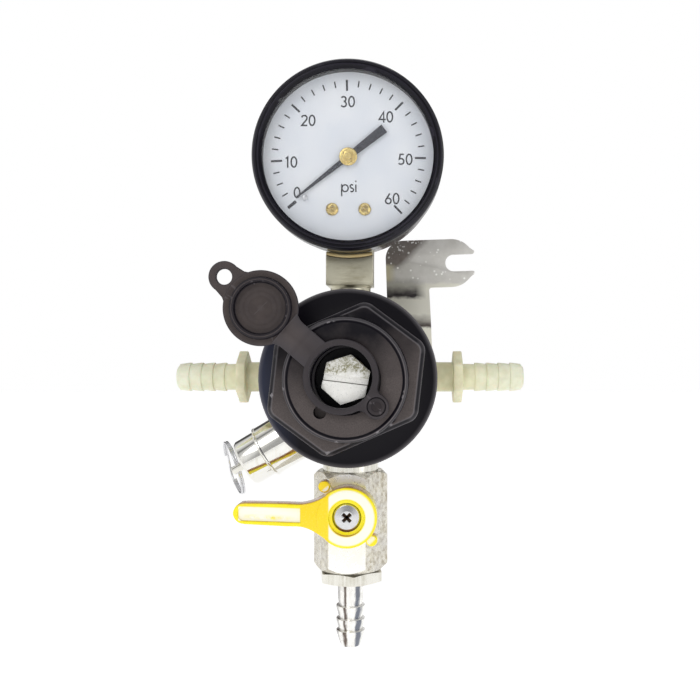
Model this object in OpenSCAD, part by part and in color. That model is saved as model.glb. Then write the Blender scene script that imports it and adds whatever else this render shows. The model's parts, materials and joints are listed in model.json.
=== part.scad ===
// Secondary carbon dioxide regulator for draught drinks: bonnet with adjusting screw, pressure gauge,
// hose tails, relief valve, shut-off ball valve and wall bracket. Millimetres, +Z up, and the front faces -Y.
// The origin is the centre of the wall slot's seat, on the plane of the wall.

/* [Body and bonnet] */
// Radius of the cast body
body_r = 23.5; // [23:0.1:24]
// Radius of the bonnet's flange
flange_r = 26.45; // [26:0.05:28]
// Width across the flats of the bonnet's hexagon
bonnet_af = 43.1; // [42.5:0.1:44]
// Width across the one pair of flats that stand closer together
bonnet_narrow_af = 36.9; // [36.6:0.1:38]
// Radius of the rim around the bonnet's face
boss_r = 17.65; // [17.5:0.05:18.1]
// Turn of the bonnet's hexagon about its axis
bonnet_turn = -6.5; // [-30:0.5:30]

/* [Adjusting screw] */
// Width across the flats of the screw's head
screw_af = 12.7; // [12:0.1:13]
// Pitch of the screw's thread
screw_pitch = 1.058; // [0.9:0.001:1.06]
// Turns from fully out to fully in
screw_turns = 3; // [1:1:3]

/* [Gauge] */
// Outer radius of the gauge's bezel
bezel_r = 28.3; // [28:0.1:29]
// Height of the gauge's centre above the body's centre
gauge_z = 65.8; // [65.6:0.1:66]
// Width across the flats of the gauge's square socket
socket_af = 14.3; // [14:0.1:15]

/* [Hose tails] */
// Radius over the crests of a hose tail
crest_r = 4.42; // [4.3:0.01:4.6]
// Width across the flats of a plastic tail's collar
barb_af = 14.3; // [14:0.1:15]
// Distance from the body's centre to the tip of a side tail
barb_tip = 53.5; // [52.5:0.1:55]

/* [Shut-off valve] */
// Width across the flats of the valve's body
valve_af = 20; // [19:0.1:20.5]
// Distance of the lever's pivot below the body's centre
lever_drop = 40; // [39.5:0.1:40.5]
// Reach of the lever from its pivot
lever_reach = 33; // [30:0.5:35]

/* [Relief valve] */
// Angle of the relief valve below the horizontal
relief_angle = 31; // [30:0.5:32]
// Depth at which its axis crosses the body's vertical centre line
relief_drop = 7.4; // [7:0.1:7.8]

/* [Bracket] */
// Thickness of the bracket's sheet
sheet = 1.6; // [1.2:0.1:1.8]
// Radius of the slot's closed end
slot_r = 2.83; // [2.5:0.01:3]

/* [Hidden] */
$fn = 96;

// Running clearance of a shaft in its hole, on the radius
run_gap = 0.05;
// Gap between pieces that are screwed or pressed together
seat_gap = 0.02;

// Planes along Y, counted from the plane of the ports, with the front negative
wall_y = 22;
body_back = 14;
body_front = -11;
flange_front = -15;
face_front = -27.4;
rim_front = -28.2;
ring_front = -29.75;

// Bores of the body
port_r = 6.6;
port_start = 16;
chamber_r = 14.5;
chamber_floor = -5.4;
land_y = -7.8;
bonnet_thread_r = 20.6;
gas_r = 2.5;
sense_r = 1.8;
poppet_room_r = 6;
poppet_room_back = 7;
nozzle_wall_front = -2.8;
nozzle_r = 3;
nozzle_bore_r = 1.4;
plug_r = 8;
plug_hex_back = 20;
o_ring_room_r = 9.9;
o_ring_room_depth = 1.5;

// Bonnet
spring_room_r = 14.8;
spring_room_top = -21.3;
bore_r = 9;
bore_mouth_r = 9.8;
tube_r = 10.4;
web_front = -18.1;
web_back = -14.9;
peg_r = 11.5;
peg_hole_r = 1.75;
peg_angle = -40;
spare_peg_angle = -128;

// Adjusting screw and the pieces that it moves
shank_r = 3.9;
head_front = -25;
// Fully in, the head stops just short of the bonnet's web
screw_travel = screw_pitch * screw_turns;
head_back = web_front - screw_travel - 0.126;
screw_tip = -14.7;
head_turn = 18;
slot_turn = -7;
slot_half = 1;

// Diaphragm and its plate
diaphragm_t = 0.8;
diaphragm_front = land_y - diaphragm_t;
plate_front = -9.8;
plate_r = 14;
spring_mean_r = 12.9;
spring_wire = 1.9;
button_flange_back = -19.6;

// Tether
tether_x = -1.1;
tether_z = 0.9;
strap_angle = 139.3;
strap_w = 9;
cap_distance = 29.4;
cap_r = 10.6;
hinge_bead_r = 0.5;
fold_gap = 0.55;
strap_back = rim_front - 0.1;
plate_gap = 0.25;
tab_distance = cap_distance + 13.4;
tab_hole_r = 2.2;

// Gauge, in planes along Y
case_r = 27.3;
case_back = 9;
bezel_front = -17;
bezel_back = -8;
bezel_inner_r = 25.2;
lens_front = -15.6;
lens_back = -13.8;
dial_front = -11.6;
dial_back = -11;
pointer_front = -12.6;
zero_angle = 218.2;
stop_pin_r = 17.7;
stop_pin_angle = 223.5;
socket_top = 53;
socket_shoulder = 38.2;
socket_foot = 28;
dial_screw_x = 4.85;
dial_screw_drop = 15.5;

// Gear train of the gauge: the sector swings one sixth as far as the pointer
tooth_module = 0.5;
pinion_teeth = 10;
sector_teeth = 60;
pinion_pitch_r = tooth_module * pinion_teeth / 2;
sector_pitch_r = tooth_module * sector_teeth / 2;
gear_centres = pinion_pitch_r + sector_pitch_r + 0.05;
pointer_sweep = 265;
sector_sweep = pointer_sweep * pinion_teeth / sector_teeth;
sector_rest = 90 - sector_sweep / 2;
tooth_step = 360 / sector_teeth;
// How far the nearest tooth of the sector stands past the line of centres at rest
tooth_lead = sector_rest + ceil((90 - sector_rest) / tooth_step) * tooth_step - 90;
tooth_half = 0.3;
sector_y = -6.8;
sector_shaft_r = 0.9;
pinion_shaft_r = 0.8;
tail_r = 5;
tail_angle = -40;

// Bourdon tube: its root is in the socket and its free tip is on the right
tube_mean_r = 20;
tube_sweep = 244;
tube_drop = 2.2;
link_y = -7.6;
link_from = [tail_r * cos(tail_angle), tail_r * sin(tail_angle) - gear_centres];
link_to = [tube_mean_r, -tube_drop];
link_length = norm(link_to - link_from);
link_angle = atan2(link_to[1] - link_from[1], link_to[0] - link_from[0]);

// Relief valve, in distances along its own axis
relief_port_start = 12.5;
relief_thread_r = 5;
relief_shoulder = 19.2;
relief_r = 8.1;
relief_seam = 30.9;
relief_end = 38;
relief_post_end = 42.7;
relief_hole = 40.8;
relief_post_r = 1.3;
ring_wire = 0.7;
ring_mean_r = 8.55;
ring_tilt = 20;
ring_turn = 13;

// Shut-off valve
collar_top = 24;
collar_bottom = 28.8;
valve_bottom = 59;
valve_turn = 3;
nut_top = 59.5;
nut_bottom = 62.9;
nut_turn = 81.4;
outlet_crests = [71.2, 75.2, 78.8];
outlet_tip = 83.2;
valve_bore_r = 6.7;
ball_r = 5.6;
ball_bore_r = 2.8;
stem_r = 3;
stem_square = 4;
tongue_half = 0.95;
handle_thread_r = 1.6;
lever_front = -21;
lever_back = -12;
lever_recess = -18;
lever_recess_r = 5;
hub_r = 8.85;
grip_front = -19.4;
grip_back = -14.4;
grip_half = 3.35;

// Bracket
seat_x = 33.3;
seat_z = 37.4;
bracket_tilt = 2;
strip_left = 10.6;
strip_right = 24.8;
strip_back = 15.7;
ear_bottom = 29.4;
ear_top = 45.4;
ear_right = 40.4;
ear_end_r = 8;
screw_x = 15;
screw_heights = [9, -1];
screw_hole_r = 2.2;

// The whole object stands so that the wall slot's seat is the origin
module placed() {
    translate([-seat_x, -wall_y, -seat_z]) children();
}

// A drawing in the XY plane, seen from the front, with its Z growing forwards from the plane at y
module front_from(y) {
    translate([0, y, 0]) rotate([90, 0, 0]) children();
}

// A disc about the Y axis from the plane y_back to the plane y_front
module disc(r, y_back, y_front) {
    front_from(y_back) cylinder(r = r, h = y_back - y_front);
}

// A body of revolution about the Y axis from points of [radius, distance in front of the port plane]
module turned(points) {
    front_from(0) rotate_extrude() polygon(points);
}

// The child's Z axis runs out of the body at this angle, as seen from the front
module port(angle) {
    rotate([0, 90 - angle, 0]) children();
}

module relief_axis() {
    translate([0, 0, -relief_drop]) port(180 + relief_angle) children();
}

function polar(r, angle) = [r * cos(angle), r * sin(angle)];
function hex_corner_r(across) = across / 2 / cos(30);

module hex_prism(across, h) {
    cylinder(r = hex_corner_r(across), h = h, $fn = 6);
}

// A hexagonal prism whose corners are turned down to a cone at both ends
module turned_hex(across, h, relief = 0.6) {
    intersection() {
        hex_prism(across, h);
        rotate_extrude() polygon([[0, 0], [across / 2, 0], [hex_corner_r(across) + 0.1, relief],
            [hex_corner_r(across) + 0.1, h - relief], [across / 2, h], [0, h]]);
    }
}

// The outline of a hexagon with rounded corners
module round_hex(across, corner_r) {
    side = 2 * (across / 2 - corner_r) * tan(30);
    for (turn = [0, 60, 120])
        rotate(turn) square([across, side], center = true);
    for (turn = [30:60:330])
        rotate(turn) translate([side, 0]) circle(r = corner_r);
    circle(r = side);
}

// A hexagonal block with rounded corners and a bevel around its front edge. One pair of its flats is closer
module bevelled_hex(across, narrow, corner_r, h, bevel) {
    reach = 2 * (across / 2 - corner_r) * tan(30) + corner_r;
    difference() {
        linear_extrude(h) intersection() {
            round_hex(across, corner_r);
            rotate(120) square([narrow, 2 * across], center = true);
        }
        for (turn = [0:60:300])
            let (flat = (turn == 120 || turn == 300 ? narrow : across) / 2)
            rotate(turn) rotate([90, 0, 0]) translate([0, 0, -across / 2]) linear_extrude(across)
                polygon([[flat, h - bevel], [flat - bevel - 0.5, h + 0.5], [flat + 2, h + 0.5],
                    [flat + 2, h - bevel]]);
        rotate_extrude()
            polygon([[reach + 0.3, h - bevel], [reach - bevel - 0.2, h + 0.5], [reach + 2, h + 0.5],
                [reach + 2, h - bevel]]);
    }
}

// Round wire wound in a helix about Z: radius, length, number of turns and wire diameter
module coil(mean_r, length, turns, wire, sides = 8, steps = 16) {
    rings = round(turns * steps);
    rise = length - wire;
    points = [for (i = [0:rings]) let (a = 360 * turns * i / rings, z = wire / 2 + rise * i / rings)
        for (k = [0:sides - 1]) let (b = 360 * k / sides, r = mean_r + wire / 2 * cos(b))
            [r * cos(a), r * sin(a), z + wire / 2 * sin(b)]];
    walls = [for (i = [0:rings - 1]) for (k = [0:sides - 1]) let (n = (k + 1) % sides)
        [i * sides + k, (i + 1) * sides + k, (i + 1) * sides + n, i * sides + n]];
    polyhedron(points, concat([[for (k = [0:sides - 1]) k]], walls,
        [[for (k = [sides - 1:-1:0]) rings * sides + k]]));
}

// Profile of a hose tail along its axis: each crest has a short land, a drop towards the body and a ramp to
// the tip
function barb_profile(crests, root, land) =
    [for (c = crests) each [[root, c - land], [crest_r, c - land], [crest_r, c]]];

/* ---- Body ---- */

module body_casting() color("silver") difference() {
    turned([[0, -body_back], [body_r - 1, -body_back], [body_r, 1 - body_back], [body_r, -body_front],
        [0, -body_front]]);
    disc(bonnet_thread_r, land_y, body_front - 1);
    disc(chamber_r, chamber_floor, land_y - 1);
    disc(poppet_room_r, poppet_room_back, nozzle_wall_front);
    disc(nozzle_r + seat_gap, 0, chamber_floor - 1);
    disc(plug_r, body_back + 1, poppet_room_back);
    disc(o_ring_room_r, body_back + 1, body_back - o_ring_room_depth);
    for (angle = [0, 90, 180, 270])
        port(angle) translate([0, 0, port_start]) cylinder(r = port_r, h = 20);
    for (angle = [0, 180])
        port(angle) cylinder(r = gas_r, h = 20);
    // The gauge and the shut-off valve open into the room under the diaphragm
    for (angle = [90, 270]) {
        port(angle) translate([0, 0, 10.5]) cylinder(r = gas_r, h = 8);
        port(angle) translate([0, 0, 11]) rotate([90, 0, 0]) cylinder(r = sense_r, h = 8);
    }
    relief_axis() {
        translate([0, 0, relief_port_start]) cylinder(r = relief_thread_r + seat_gap, h = 20);
        translate([0, 0, relief_shoulder - seat_gap]) cylinder(r = relief_r + 0.3, h = 20);
        translate([0, 0, 9.5]) cylinder(r = sense_r, h = 8);
        translate([0, 0, 10]) rotate([90, 0, 0]) cylinder(r = 1.5, h = 8);
    }
    for (z = screw_heights)
        translate([screw_x, 0, z]) disc(2, body_back + 1, 8);
}

module rear_plug() color("gold") difference() {
    union() {
        disc(plug_r - run_gap, body_back, poppet_room_back);
        front_from(plug_hex_back) turned_hex(17.5, plug_hex_back - body_back, 0.8);
    }
    disc(1.55, plug_hex_back - 2, 6);
    disc(4.6, 10.5, 6);
}

module plug_o_ring() color("black")
    front_from(13.2) rotate_extrude() translate([9, 0]) circle(r = 0.7, $fn = 24);

module seat_nozzle() color("gold")
    turned([[nozzle_bore_r, 1.8], [2, 1.8], [3.6, 2.7], [3.6, 2.78], [nozzle_r, 2.78], [nozzle_r, 5.3],
        [nozzle_bore_r, 5.3]]);

module poppet() color("gold") {
    turned([[0, 0.6], [3.4, 0.6], [3.4, -1.4], [2.4, -1.4], [2.4, -3], [1.5, -3], [1.5, -14], [0, -14]]);
    disc(0.9, 0, -7.4);
}

module poppet_seal() color("dimgray")
    turned([[0.95, 1.75], [0.95, 0.65], [3.2, 0.65], [3.2, 1.75]]);

module poppet_spring() color("silver")
    translate([0, 1.5, 0]) rotate([-90, 0, 0]) coil(3.2, 8.9, 5, 0.7);

module diaphragm() color("dimgray")
    turned([[0, -land_y], [20.4, -land_y], [20.4, -diaphragm_front], [0, -diaphragm_front]]);

module diaphragm_plate() color("silver")
    turned([[0, -diaphragm_front + 0.02], [plate_r, -diaphragm_front + 0.02], [plate_r, -plate_front - 0.3],
        [plate_r - 0.3, -plate_front], [0, -plate_front]]);

module slip_ring() color("gold")
    turned([[16.5, 8.62], [20.4, 8.62], [20.4, 9.18], [16.5, 9.18]]);

module main_spring() color("silver")
    front_from(plate_front - seat_gap)
        coil(spring_mean_r, plate_front - button_flange_back - 2 * seat_gap, 2.3, spring_wire);

module spring_button() color("gold") {
    inner = tube_r + 0.3;
    outer = inner + 1;
    flange = spring_room_r - 0.4;
    turned([[0, 13.2], [outer, 13.2], [outer, -button_flange_back], [flange, -button_flange_back],
        [flange, 20.6], [inner, 20.6], [inner, 14.6], [0, 14.6]]);
}

/* ---- Bonnet ---- */

module bonnet() color("#25222a") difference() {
    union() {
        turned([[14, 9.2], [20.5, 9.2], [20.5, 11], [flange_r - 0.4, 11], [flange_r, 11.4],
            [flange_r, 14.4], [flange_r - 0.6, 15], [14, 15]]);
        rotate([0, -bonnet_turn, 0]) front_from(flange_front + 0.5)
            bevelled_hex(bonnet_af, bonnet_narrow_af, 5.5, 9.5, 1.1);
        turned([[0, 20], [boss_r + 0.2, 20], [boss_r + 0.2, 24.5], [boss_r, 27.4], [boss_r - 0.35, 28],
            [boss_r - 0.8, -rim_front], [boss_r - 1.3, 28], [boss_r - 1.7, 27.6], [boss_r - 2.6, -face_front],
            [0, -face_front]]);
    }
    turned([[tube_r, 8], [tube_r, -spring_room_top], [spring_room_r, -spring_room_top], [spring_room_r, 8]]);
    disc(tube_r + 0.1, 0, web_back);
    disc(bore_r, web_front, -30);
    disc(bore_mouth_r, -23, -30);
    front_from(-14) hex_prism(12.2 + 2 * seat_gap, 5);
    for (angle = [peg_angle, spare_peg_angle])
        translate([peg_r * cos(angle), 0, peg_r * sin(angle)]) disc(peg_hole_r, -24.4, -30);
}

module screw_nut() color("gold") difference() {
    front_from(web_back) hex_prism(12.2, web_back - web_front);
    disc(shank_r + run_gap, 0, -30);
}

module adjusting_screw() color("lightgray") {
    difference() {
        rotate([0, -head_turn, 0]) front_from(head_back) turned_hex(screw_af, head_back - head_front, 0.35);
        rotate([0, -slot_turn, 0]) translate([-screw_af, head_front - 1, -slot_half])
            cube([2 * screw_af, 2.2, 2 * slot_half]);
    }
    disc(shank_r, screw_tip, head_back - 0.5);
}

/* ---- Tether and dust cap ---- */

// The ring's own frame: its centre is the origin, and X runs along the strap towards the cap
module tether_frame() {
    translate([tether_x, 0, tether_z]) rotate([0, -strap_angle, 0]) children();
}

module at_peg() {
    translate([peg_r * cos(peg_angle), 0, peg_r * sin(peg_angle)]) children();
}

module tether_ring() color("#3d393c") {
    ring_back = face_front - 0.05;
    strap_start = 8;
    difference() {
        union() {
            tether_frame() disc(10.6, ring_back, ring_front);
            tether_frame() translate([strap_start, ring_front, -strap_w / 2])
                cube([cap_distance / 2 - strap_start - fold_gap, strap_back - ring_front, strap_w]);
            at_peg() disc(3.5, ring_back, ring_front);
        }
        tether_frame() disc(8.8, 0, -40);
        at_peg() {
            disc(peg_hole_r, 0, -40);
            disc(2.55, ring_front + 0.9, -40);
        }
    }
}

module tether_peg() color("#3d393c") at_peg()
    turned([[0, 24.6], [1.7, 24.6], [1.7, 28.9], [2.45, 28.9], [2.45, 29.3], [2.1, 29.7], [0, 29.7]]);

module tether_cap() color("#3d393c") {
    plate_back = strap_back + 0.6;
    plate_front = ring_front + plate_gap;
    bead_w = strap_w - 0.6;
    tether_frame() {
        difference() {
            union() {
                translate([cap_distance, 0, 0]) {
                    turned([[0, -plate_back], [cap_r - 0.5, -plate_back], [cap_r, -plate_back + 0.5],
                        [cap_r, -plate_front - 0.4], [cap_r - 0.4, -plate_front], [0, -plate_front]]);
                    turned([[7.3, -plate_front - 0.5], [8.5, -plate_front - 0.5], [8.5, -plate_front + 1.4],
                        [8.2, -plate_front + 1.7], [7.6, -plate_front + 1.7], [7.3, -plate_front + 1.4]]);
                }
                // Half of the strap, from the fold to the cap
                translate([cap_distance / 2 + fold_gap, plate_front, -strap_w / 2])
                    cube([cap_distance / 2 - 8, strap_back - plate_front, strap_w]);
                // The tab and its neck
                translate([tab_distance, 0, 0]) disc(4.4, plate_back, plate_front);
                translate([cap_distance + 8, plate_front, -3.1]) cube([4, plate_back - plate_front, 6.2]);
            }
            translate([tab_distance, 0, 0]) disc(tab_hole_r, 0, -40);
        }
        // The bead of the living hinge, on the fold's axis, and the web that joins it to the strap
        translate([cap_distance / 2, ring_front, 0]) cylinder(r = hinge_bead_r, h = bead_w, center = true);
        translate([cap_distance / 2, ring_front + 0.15, -bead_w / 2]) cube([1, 0.7, bead_w]);
    }
}

/* ---- Pressure gauge ---- */

module at_gauge() {
    translate([0, 0, gauge_z]) children();
}

module gauge_socket() color("#b9b4a0") difference() {
    union() {
        translate([0, 0, port_start + 0.1]) cylinder(r = 6.55, h = body_r + 0.5 - port_start);
        translate([0, 0, body_r]) cylinder(r = 6.2, h = socket_foot - body_r);
        translate([-socket_af / 2, -socket_af / 2, socket_foot])
            cube([socket_af, socket_af, socket_shoulder - socket_foot]);
        translate([-socket_af / 2, -3, socket_shoulder - 1])
            cube([socket_af, 9.9, socket_top - socket_shoulder + 1]);
    }
    cylinder(r = 1.5, h = socket_top - 2);
    // The tube's root is soldered into the socket
    translate([0, 0, socket_top - 4.3]) rotate([0, -90, 0]) cylinder(r = 1.5, h = 20);
}

module gauge_case() color("#17161a") at_gauge() difference() {
    turned([[0, -case_back], [case_r - 2.4, -case_back], [case_r - 1, 0.5 - case_back],
        [case_r - 0.3, 1.2 - case_back], [case_r, 2.4 - case_back], [case_r, -lens_back - run_gap],
        [0, -lens_back - run_gap]]);
    turned([[0, 1 - case_back], [case_r - 2.4, 1 - case_back], [case_r - 1, 2.4 - case_back],
        [case_r - 1, 20], [0, 20]]);
    translate([-socket_af / 2 - 0.05, -7.3, -case_r - 3]) cube([socket_af + 0.1, 14.4, 6]);
    // Blow-out hole in the back
    translate([0, case_back + 1, 15]) front_from(0) cylinder(r = 3, h = 4);
}

module gauge_bezel() color("#17161a") at_gauge()
    turned([[bezel_r - 0.9, -bezel_back], [bezel_r, -bezel_back + 0.3], [bezel_r, 14.6],
        [bezel_r - 0.3, 15.8], [bezel_r - 1, 16.7], [bezel_r - 1.7, -bezel_front], [bezel_r - 2.3, 16.8],
        [bezel_inner_r, 16], [bezel_inner_r, 15.65], [bezel_r - 0.9, 15.65]]);

module gauge_lens() color("white", 0.3) at_gauge()
    disc(case_r, lens_back, lens_front);

module lens_gasket() color("#2a2a2e") at_gauge()
    turned([[25.4, -dial_front + 0.02], [26.25, -dial_front + 0.02], [26.25, -lens_back - 0.02],
        [25.4, -lens_back - 0.02]]);

module gauge_dial() color("#dfe3e8") at_gauge() difference() {
    disc(26.2, dial_back, dial_front);
    disc(2, 0, -20);
    for (x = [-dial_screw_x, dial_screw_x])
        translate([x, 0, -dial_screw_drop]) disc(1.15, 0, -20);
    at_stop_pin() disc(0.55, 0, -20);
}

module at_stop_pin() {
    translate([stop_pin_r * cos(stop_pin_angle), 0, stop_pin_r * sin(stop_pin_angle)]) children();
}

module dial_screws() color("gold") at_gauge()
    for (x = [-dial_screw_x, dial_screw_x])
        translate([x, 0, -dial_screw_drop]) difference() {
            turned([[0, 9], [1.1, 9], [1.1, 11.62], [1.88, 11.62], [1.8, 12.1], [1.3, 12.45], [0, 12.55]]);
            rotate([0, 20, 0]) translate([-3, -13, -0.2]) cube([6, 0.8, 0.4]);
        }

module zero_stop_pin() color("#c9cbd0") at_gauge() at_stop_pin()
    turned([[0, 11], [0.5, 11], [0.5, 11.62], [0.8, 11.62], [0.8, 12.8], [0.6, 13], [0, 13]]);

// The pointer is drawn along X and then turned to the zero mark
module pointer() color("#32343f") at_gauge() rotate([0, -zero_angle, 0])
    front_from(pointer_front + 0.3) linear_extrude(0.3) difference() {
        union() {
            polygon([[-13.6, -1.4], [0, -1.05], [0, -0.85], [19.7, -0.22], [19.7, 0.22], [0, 0.85],
                [0, 1.05], [-13.6, 1.4]]);
            circle(r = 2.2);
        }
        circle(r = 1.02);
    }

module pointer_hub() color("gold") at_gauge()
    turned([[1.05, 11.9], [2.2, 11.9], [2.2, 12.28], [1.02, 12.28], [1.02, 12.62], [2.7, 12.62], [2.6, 13],
        [2.1, 13.3], [0.7, 13.3], [0.55, 13.2], [0.55, 11.9]]);

module bourdon_tube() color("#b08d4a") at_gauge() front_from(-0.5)
    difference() {
        rotate_extrude(angle = tube_sweep) translate([tube_mean_r, 0])
            intersection() {
                square([2.6, 7], center = true);
                circle(r = 3.6, $fn = 48);
            }
        rotate(-1) rotate_extrude(angle = tube_sweep + 2) translate([tube_mean_r, 0])
            square([1.4, 5.4], center = true);
    }

module tube_tip() color("gold") at_gauge()
    translate([tube_mean_r - 1.2, link_y + 0.15, -tube_drop - 2]) difference() {
        cube([2.4, 3.2 - link_y - 0.15, 4]);
        translate([-1, 5.8, -1]) cube([5, 2, 3]);
    }

module movement_frame() color("#c9a24c") at_gauge() difference() {
    union() {
        for (y = [-8.8, -3.05])
            front_from(y) linear_extrude(0.75) movement_plate();
        for (x = [-5.8, 5.8])
            translate([x, 0, 1.5]) disc(1.2, -3.8, -8.8);
        for (x = [-dial_screw_x, dial_screw_x])
            translate([x, 0, -dial_screw_drop]) disc(1.9, -9.5, dial_back);
    }
    disc(pinion_shaft_r + run_gap, 0, -20);
    translate([0, 0, -gear_centres]) disc(sector_shaft_r + run_gap, 0, -20);
    for (x = [-dial_screw_x, dial_screw_x])
        translate([x, 0, -dial_screw_drop]) disc(1.12, -8.85, -20);
}

module movement_plate() {
    translate([-7, -dial_screw_drop - 4.5]) square([14, 6.4]);
    translate([-3.2, -dial_screw_drop]) square([6.4, dial_screw_drop]);
    circle(r = 3.2);
    translate([-7, 0.3]) square([14, 2.6]);
}

// One tooth of a gear with this pitch radius, pointing along +X
module gear_tooth(pitch_r, half_width) {
    polygon([[pitch_r - 0.75, -half_width * 1.5], [pitch_r + 0.4, -half_width * 0.45],
        [pitch_r + 0.4, half_width * 0.45], [pitch_r - 0.75, half_width * 1.5]]);
}

module sector_gear() color("#c9a24c") at_gauge() translate([0, 0, -gear_centres]) {
    front_from(sector_y + 0.4) linear_extrude(0.8) {
        difference() {
            intersection() {
                circle(r = sector_pitch_r - 0.7);
                rotate(sector_rest) polygon([[0, -1.4], [16, -10.4], [24, 0], [16, 10.4], [0, 1.4]]);
            }
            intersection() {
                circle(r = sector_pitch_r - 3);
                rotate(sector_rest) polygon([[6, 0], [20, -10.6], [20, 10.6]]);
            }
        }
        for (i = [-6:6])
            rotate(sector_rest + i * tooth_step) gear_tooth(sector_pitch_r, tooth_half);
        circle(r = 2);
        rotate(tail_angle) translate([0, -0.9]) square([tail_r, 1.8]);
        rotate(tail_angle) translate([tail_r, 0]) circle(r = 1.3);
    }
    disc(sector_shaft_r, -3.1, -9.5);
    rotate([0, -tail_angle, 0]) translate([tail_r, 0, 0]) disc(0.6, sector_y, -8.6);
}

module pinion_shaft() color("#c9a24c") at_gauge() {
    front_from(-6) linear_extrude(1.6) {
        circle(r = pinion_pitch_r - 0.72);
        for (i = [0:pinion_teeth - 1])
            rotate(-90 - tooth_lead * sector_teeth / pinion_teeth + (i + 0.5) * 360 / pinion_teeth)
                gear_tooth(pinion_pitch_r, tooth_half);
    }
    disc(pinion_shaft_r, -2.4, -11);
    disc(0.5, -10, -13.2);
}

// A flat spiral strip around the pinion's shaft, held at its outer end
module hairspring() color("#b08d4a") at_gauge() {
    turns = 3;
    steps = 72;
    inner = [for (i = [0:steps]) polar(1.3 + 2.7 * i / steps, 360 * turns * i / steps)];
    outer = [for (i = [steps:-1:0]) polar(1.45 + 2.7 * i / steps, 360 * turns * i / steps)];
    front_from(-4.6) linear_extrude(0.6) polygon(concat(inner, outer));
}

// The link from the sector's tail to the tube's tip. Its far end lies in front of the tip with a small gap
module gauge_link() color("#c9a24c") at_gauge()
    translate([link_from[0], 0, link_from[1]]) front_from(link_y) linear_extrude(0.6) difference() {
        union() {
            circle(r = 1.5);
            rotate(link_angle) translate([0, -0.6]) square([link_length, 1.2]);
            rotate(link_angle) translate([link_length, 0]) circle(r = 1.1);
        }
        circle(r = 0.6 + run_gap);
    }

/* ---- Side hose tails ---- */

module side_barb() color("#e2e0c4") difference() {
    crests = [39.1, 42.7, 46.3, 50];
    start = port_start + 0.1;
    union() {
        rotate_extrude() polygon(concat([[0, start], [6.3, start], [6.55, 16.4], [6.55, 24.2], [4.55, 24.9],
            [4.55, 32], [4, 34], [4, 38.2]], barb_profile(crests, 4.05, 0.6),
            [[3.7, barb_tip - 0.7], [3.3, barb_tip - 0.15], [2.9, barb_tip], [0, barb_tip]]));
        // The collar, with one of its flats to the front
        translate([0, 0, 31.2]) turned_hex(barb_af, 3.4, 0.5);
    }
    cylinder(r = 2.4, h = 60);
}

module barb_left() port(180) side_barb();
module barb_right() port(0) side_barb();

/* ---- Relief valve ---- */

module relief_body() color("silver") relief_axis() difference() {
    rotate_extrude() polygon([[1.5, relief_port_start + 0.1], [relief_thread_r, relief_port_start + 0.1],
        [relief_thread_r, relief_shoulder], [relief_r, relief_shoulder], [relief_r, relief_seam - 0.7],
        [relief_r + 0.2, relief_seam - 0.45], [relief_r + 0.2, relief_seam - 0.2],
        [relief_r, relief_seam], [5.6, relief_seam], [5.6, 21.4], [2.4, 21.4], [2.1, 21], [1.5, 21.4]]);
}

module relief_cap() color("silver") relief_axis()
    rotate_extrude() polygon([[4.4, 27], [5.58, 27], [5.58, relief_seam + 0.02], [7.1, relief_seam + 0.02],
        [7.4, relief_seam + 0.3], [7.4, relief_end - 0.6], [6.8, relief_end],
        [relief_post_r + run_gap, relief_end], [relief_post_r + run_gap, 36.4], [4.4, 36.4]]);

module relief_stem() color("silver") relief_axis() difference() {
    rotate_extrude() polygon([[0, 22.45], [4.4, 22.45], [4.4, 23.4], [2.2, 23.4], [2.2, 24.2],
        [relief_post_r, 24.2], [relief_post_r, relief_post_end - 0.3], [relief_post_r - 0.3, relief_post_end],
        [0, relief_post_end]]);
    // The hole widens towards both ends, so that the ring can lean in it
    translate([0, 0, relief_hole]) rotate([0, 90, 0]) rotate_extrude()
        polygon([[0, -3], [1.6, -3], [0.82, 0], [1.6, 3], [0, 3]]);
}

module relief_seal() color("dimgray") relief_axis()
    rotate_extrude() polygon([[0, 21.45], [4.3, 21.45], [4.3, 22.43], [0, 22.43]]);

module relief_spring() color("silver") relief_axis()
    translate([0, 0, 23.42]) coil(3.3, 12.9, 6, 0.8);

// Two turns of wire side by side, hung through the hole in the relief valve's post
module pull_ring() color("silver") relief_axis()
    translate([0, 0, relief_hole]) rotate([0, ring_turn, 0]) rotate([ring_tilt, 0, 0])
        translate([0, ring_mean_r, 0])
        for (z = [-0.36, 0.36])
            translate([0, 0, z]) rotate_extrude() translate([ring_mean_r, 0])
                circle(r = ring_wire / 2, $fn = 24);

/* ---- Shut-off valve ---- */

module valve_axis() {
    rotate([0, 180, 0]) children();
}

module valve_body() color("silver") difference() {
    union() {
        valve_axis() rotate_extrude() polygon([[0, port_start + 0.1], [6.55, port_start + 0.1],
            [6.55, 23.6], [8.2, collar_top], [8.6, collar_top + 0.4], [8.6, collar_bottom + 0.4],
            [0, collar_bottom + 0.4]]);
        valve_axis() translate([0, 0, collar_bottom]) rotate(valve_turn)
            turned_hex(valve_af, valve_bottom - collar_bottom, 1.6);
        translate([0, 0, -lever_drop]) disc(5.6, -5, -11.4);
    }
    valve_axis() {
        cylinder(r = 3, h = valve_bottom);
        translate([0, 0, lever_drop - 6.8]) cylinder(r = valve_bore_r, h = 40);
    }
    translate([0, 0, -lever_drop]) {
        disc(stem_r + run_gap, 0, -20);
        disc(4.6, -8.6, -20);
    }
}

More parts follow.
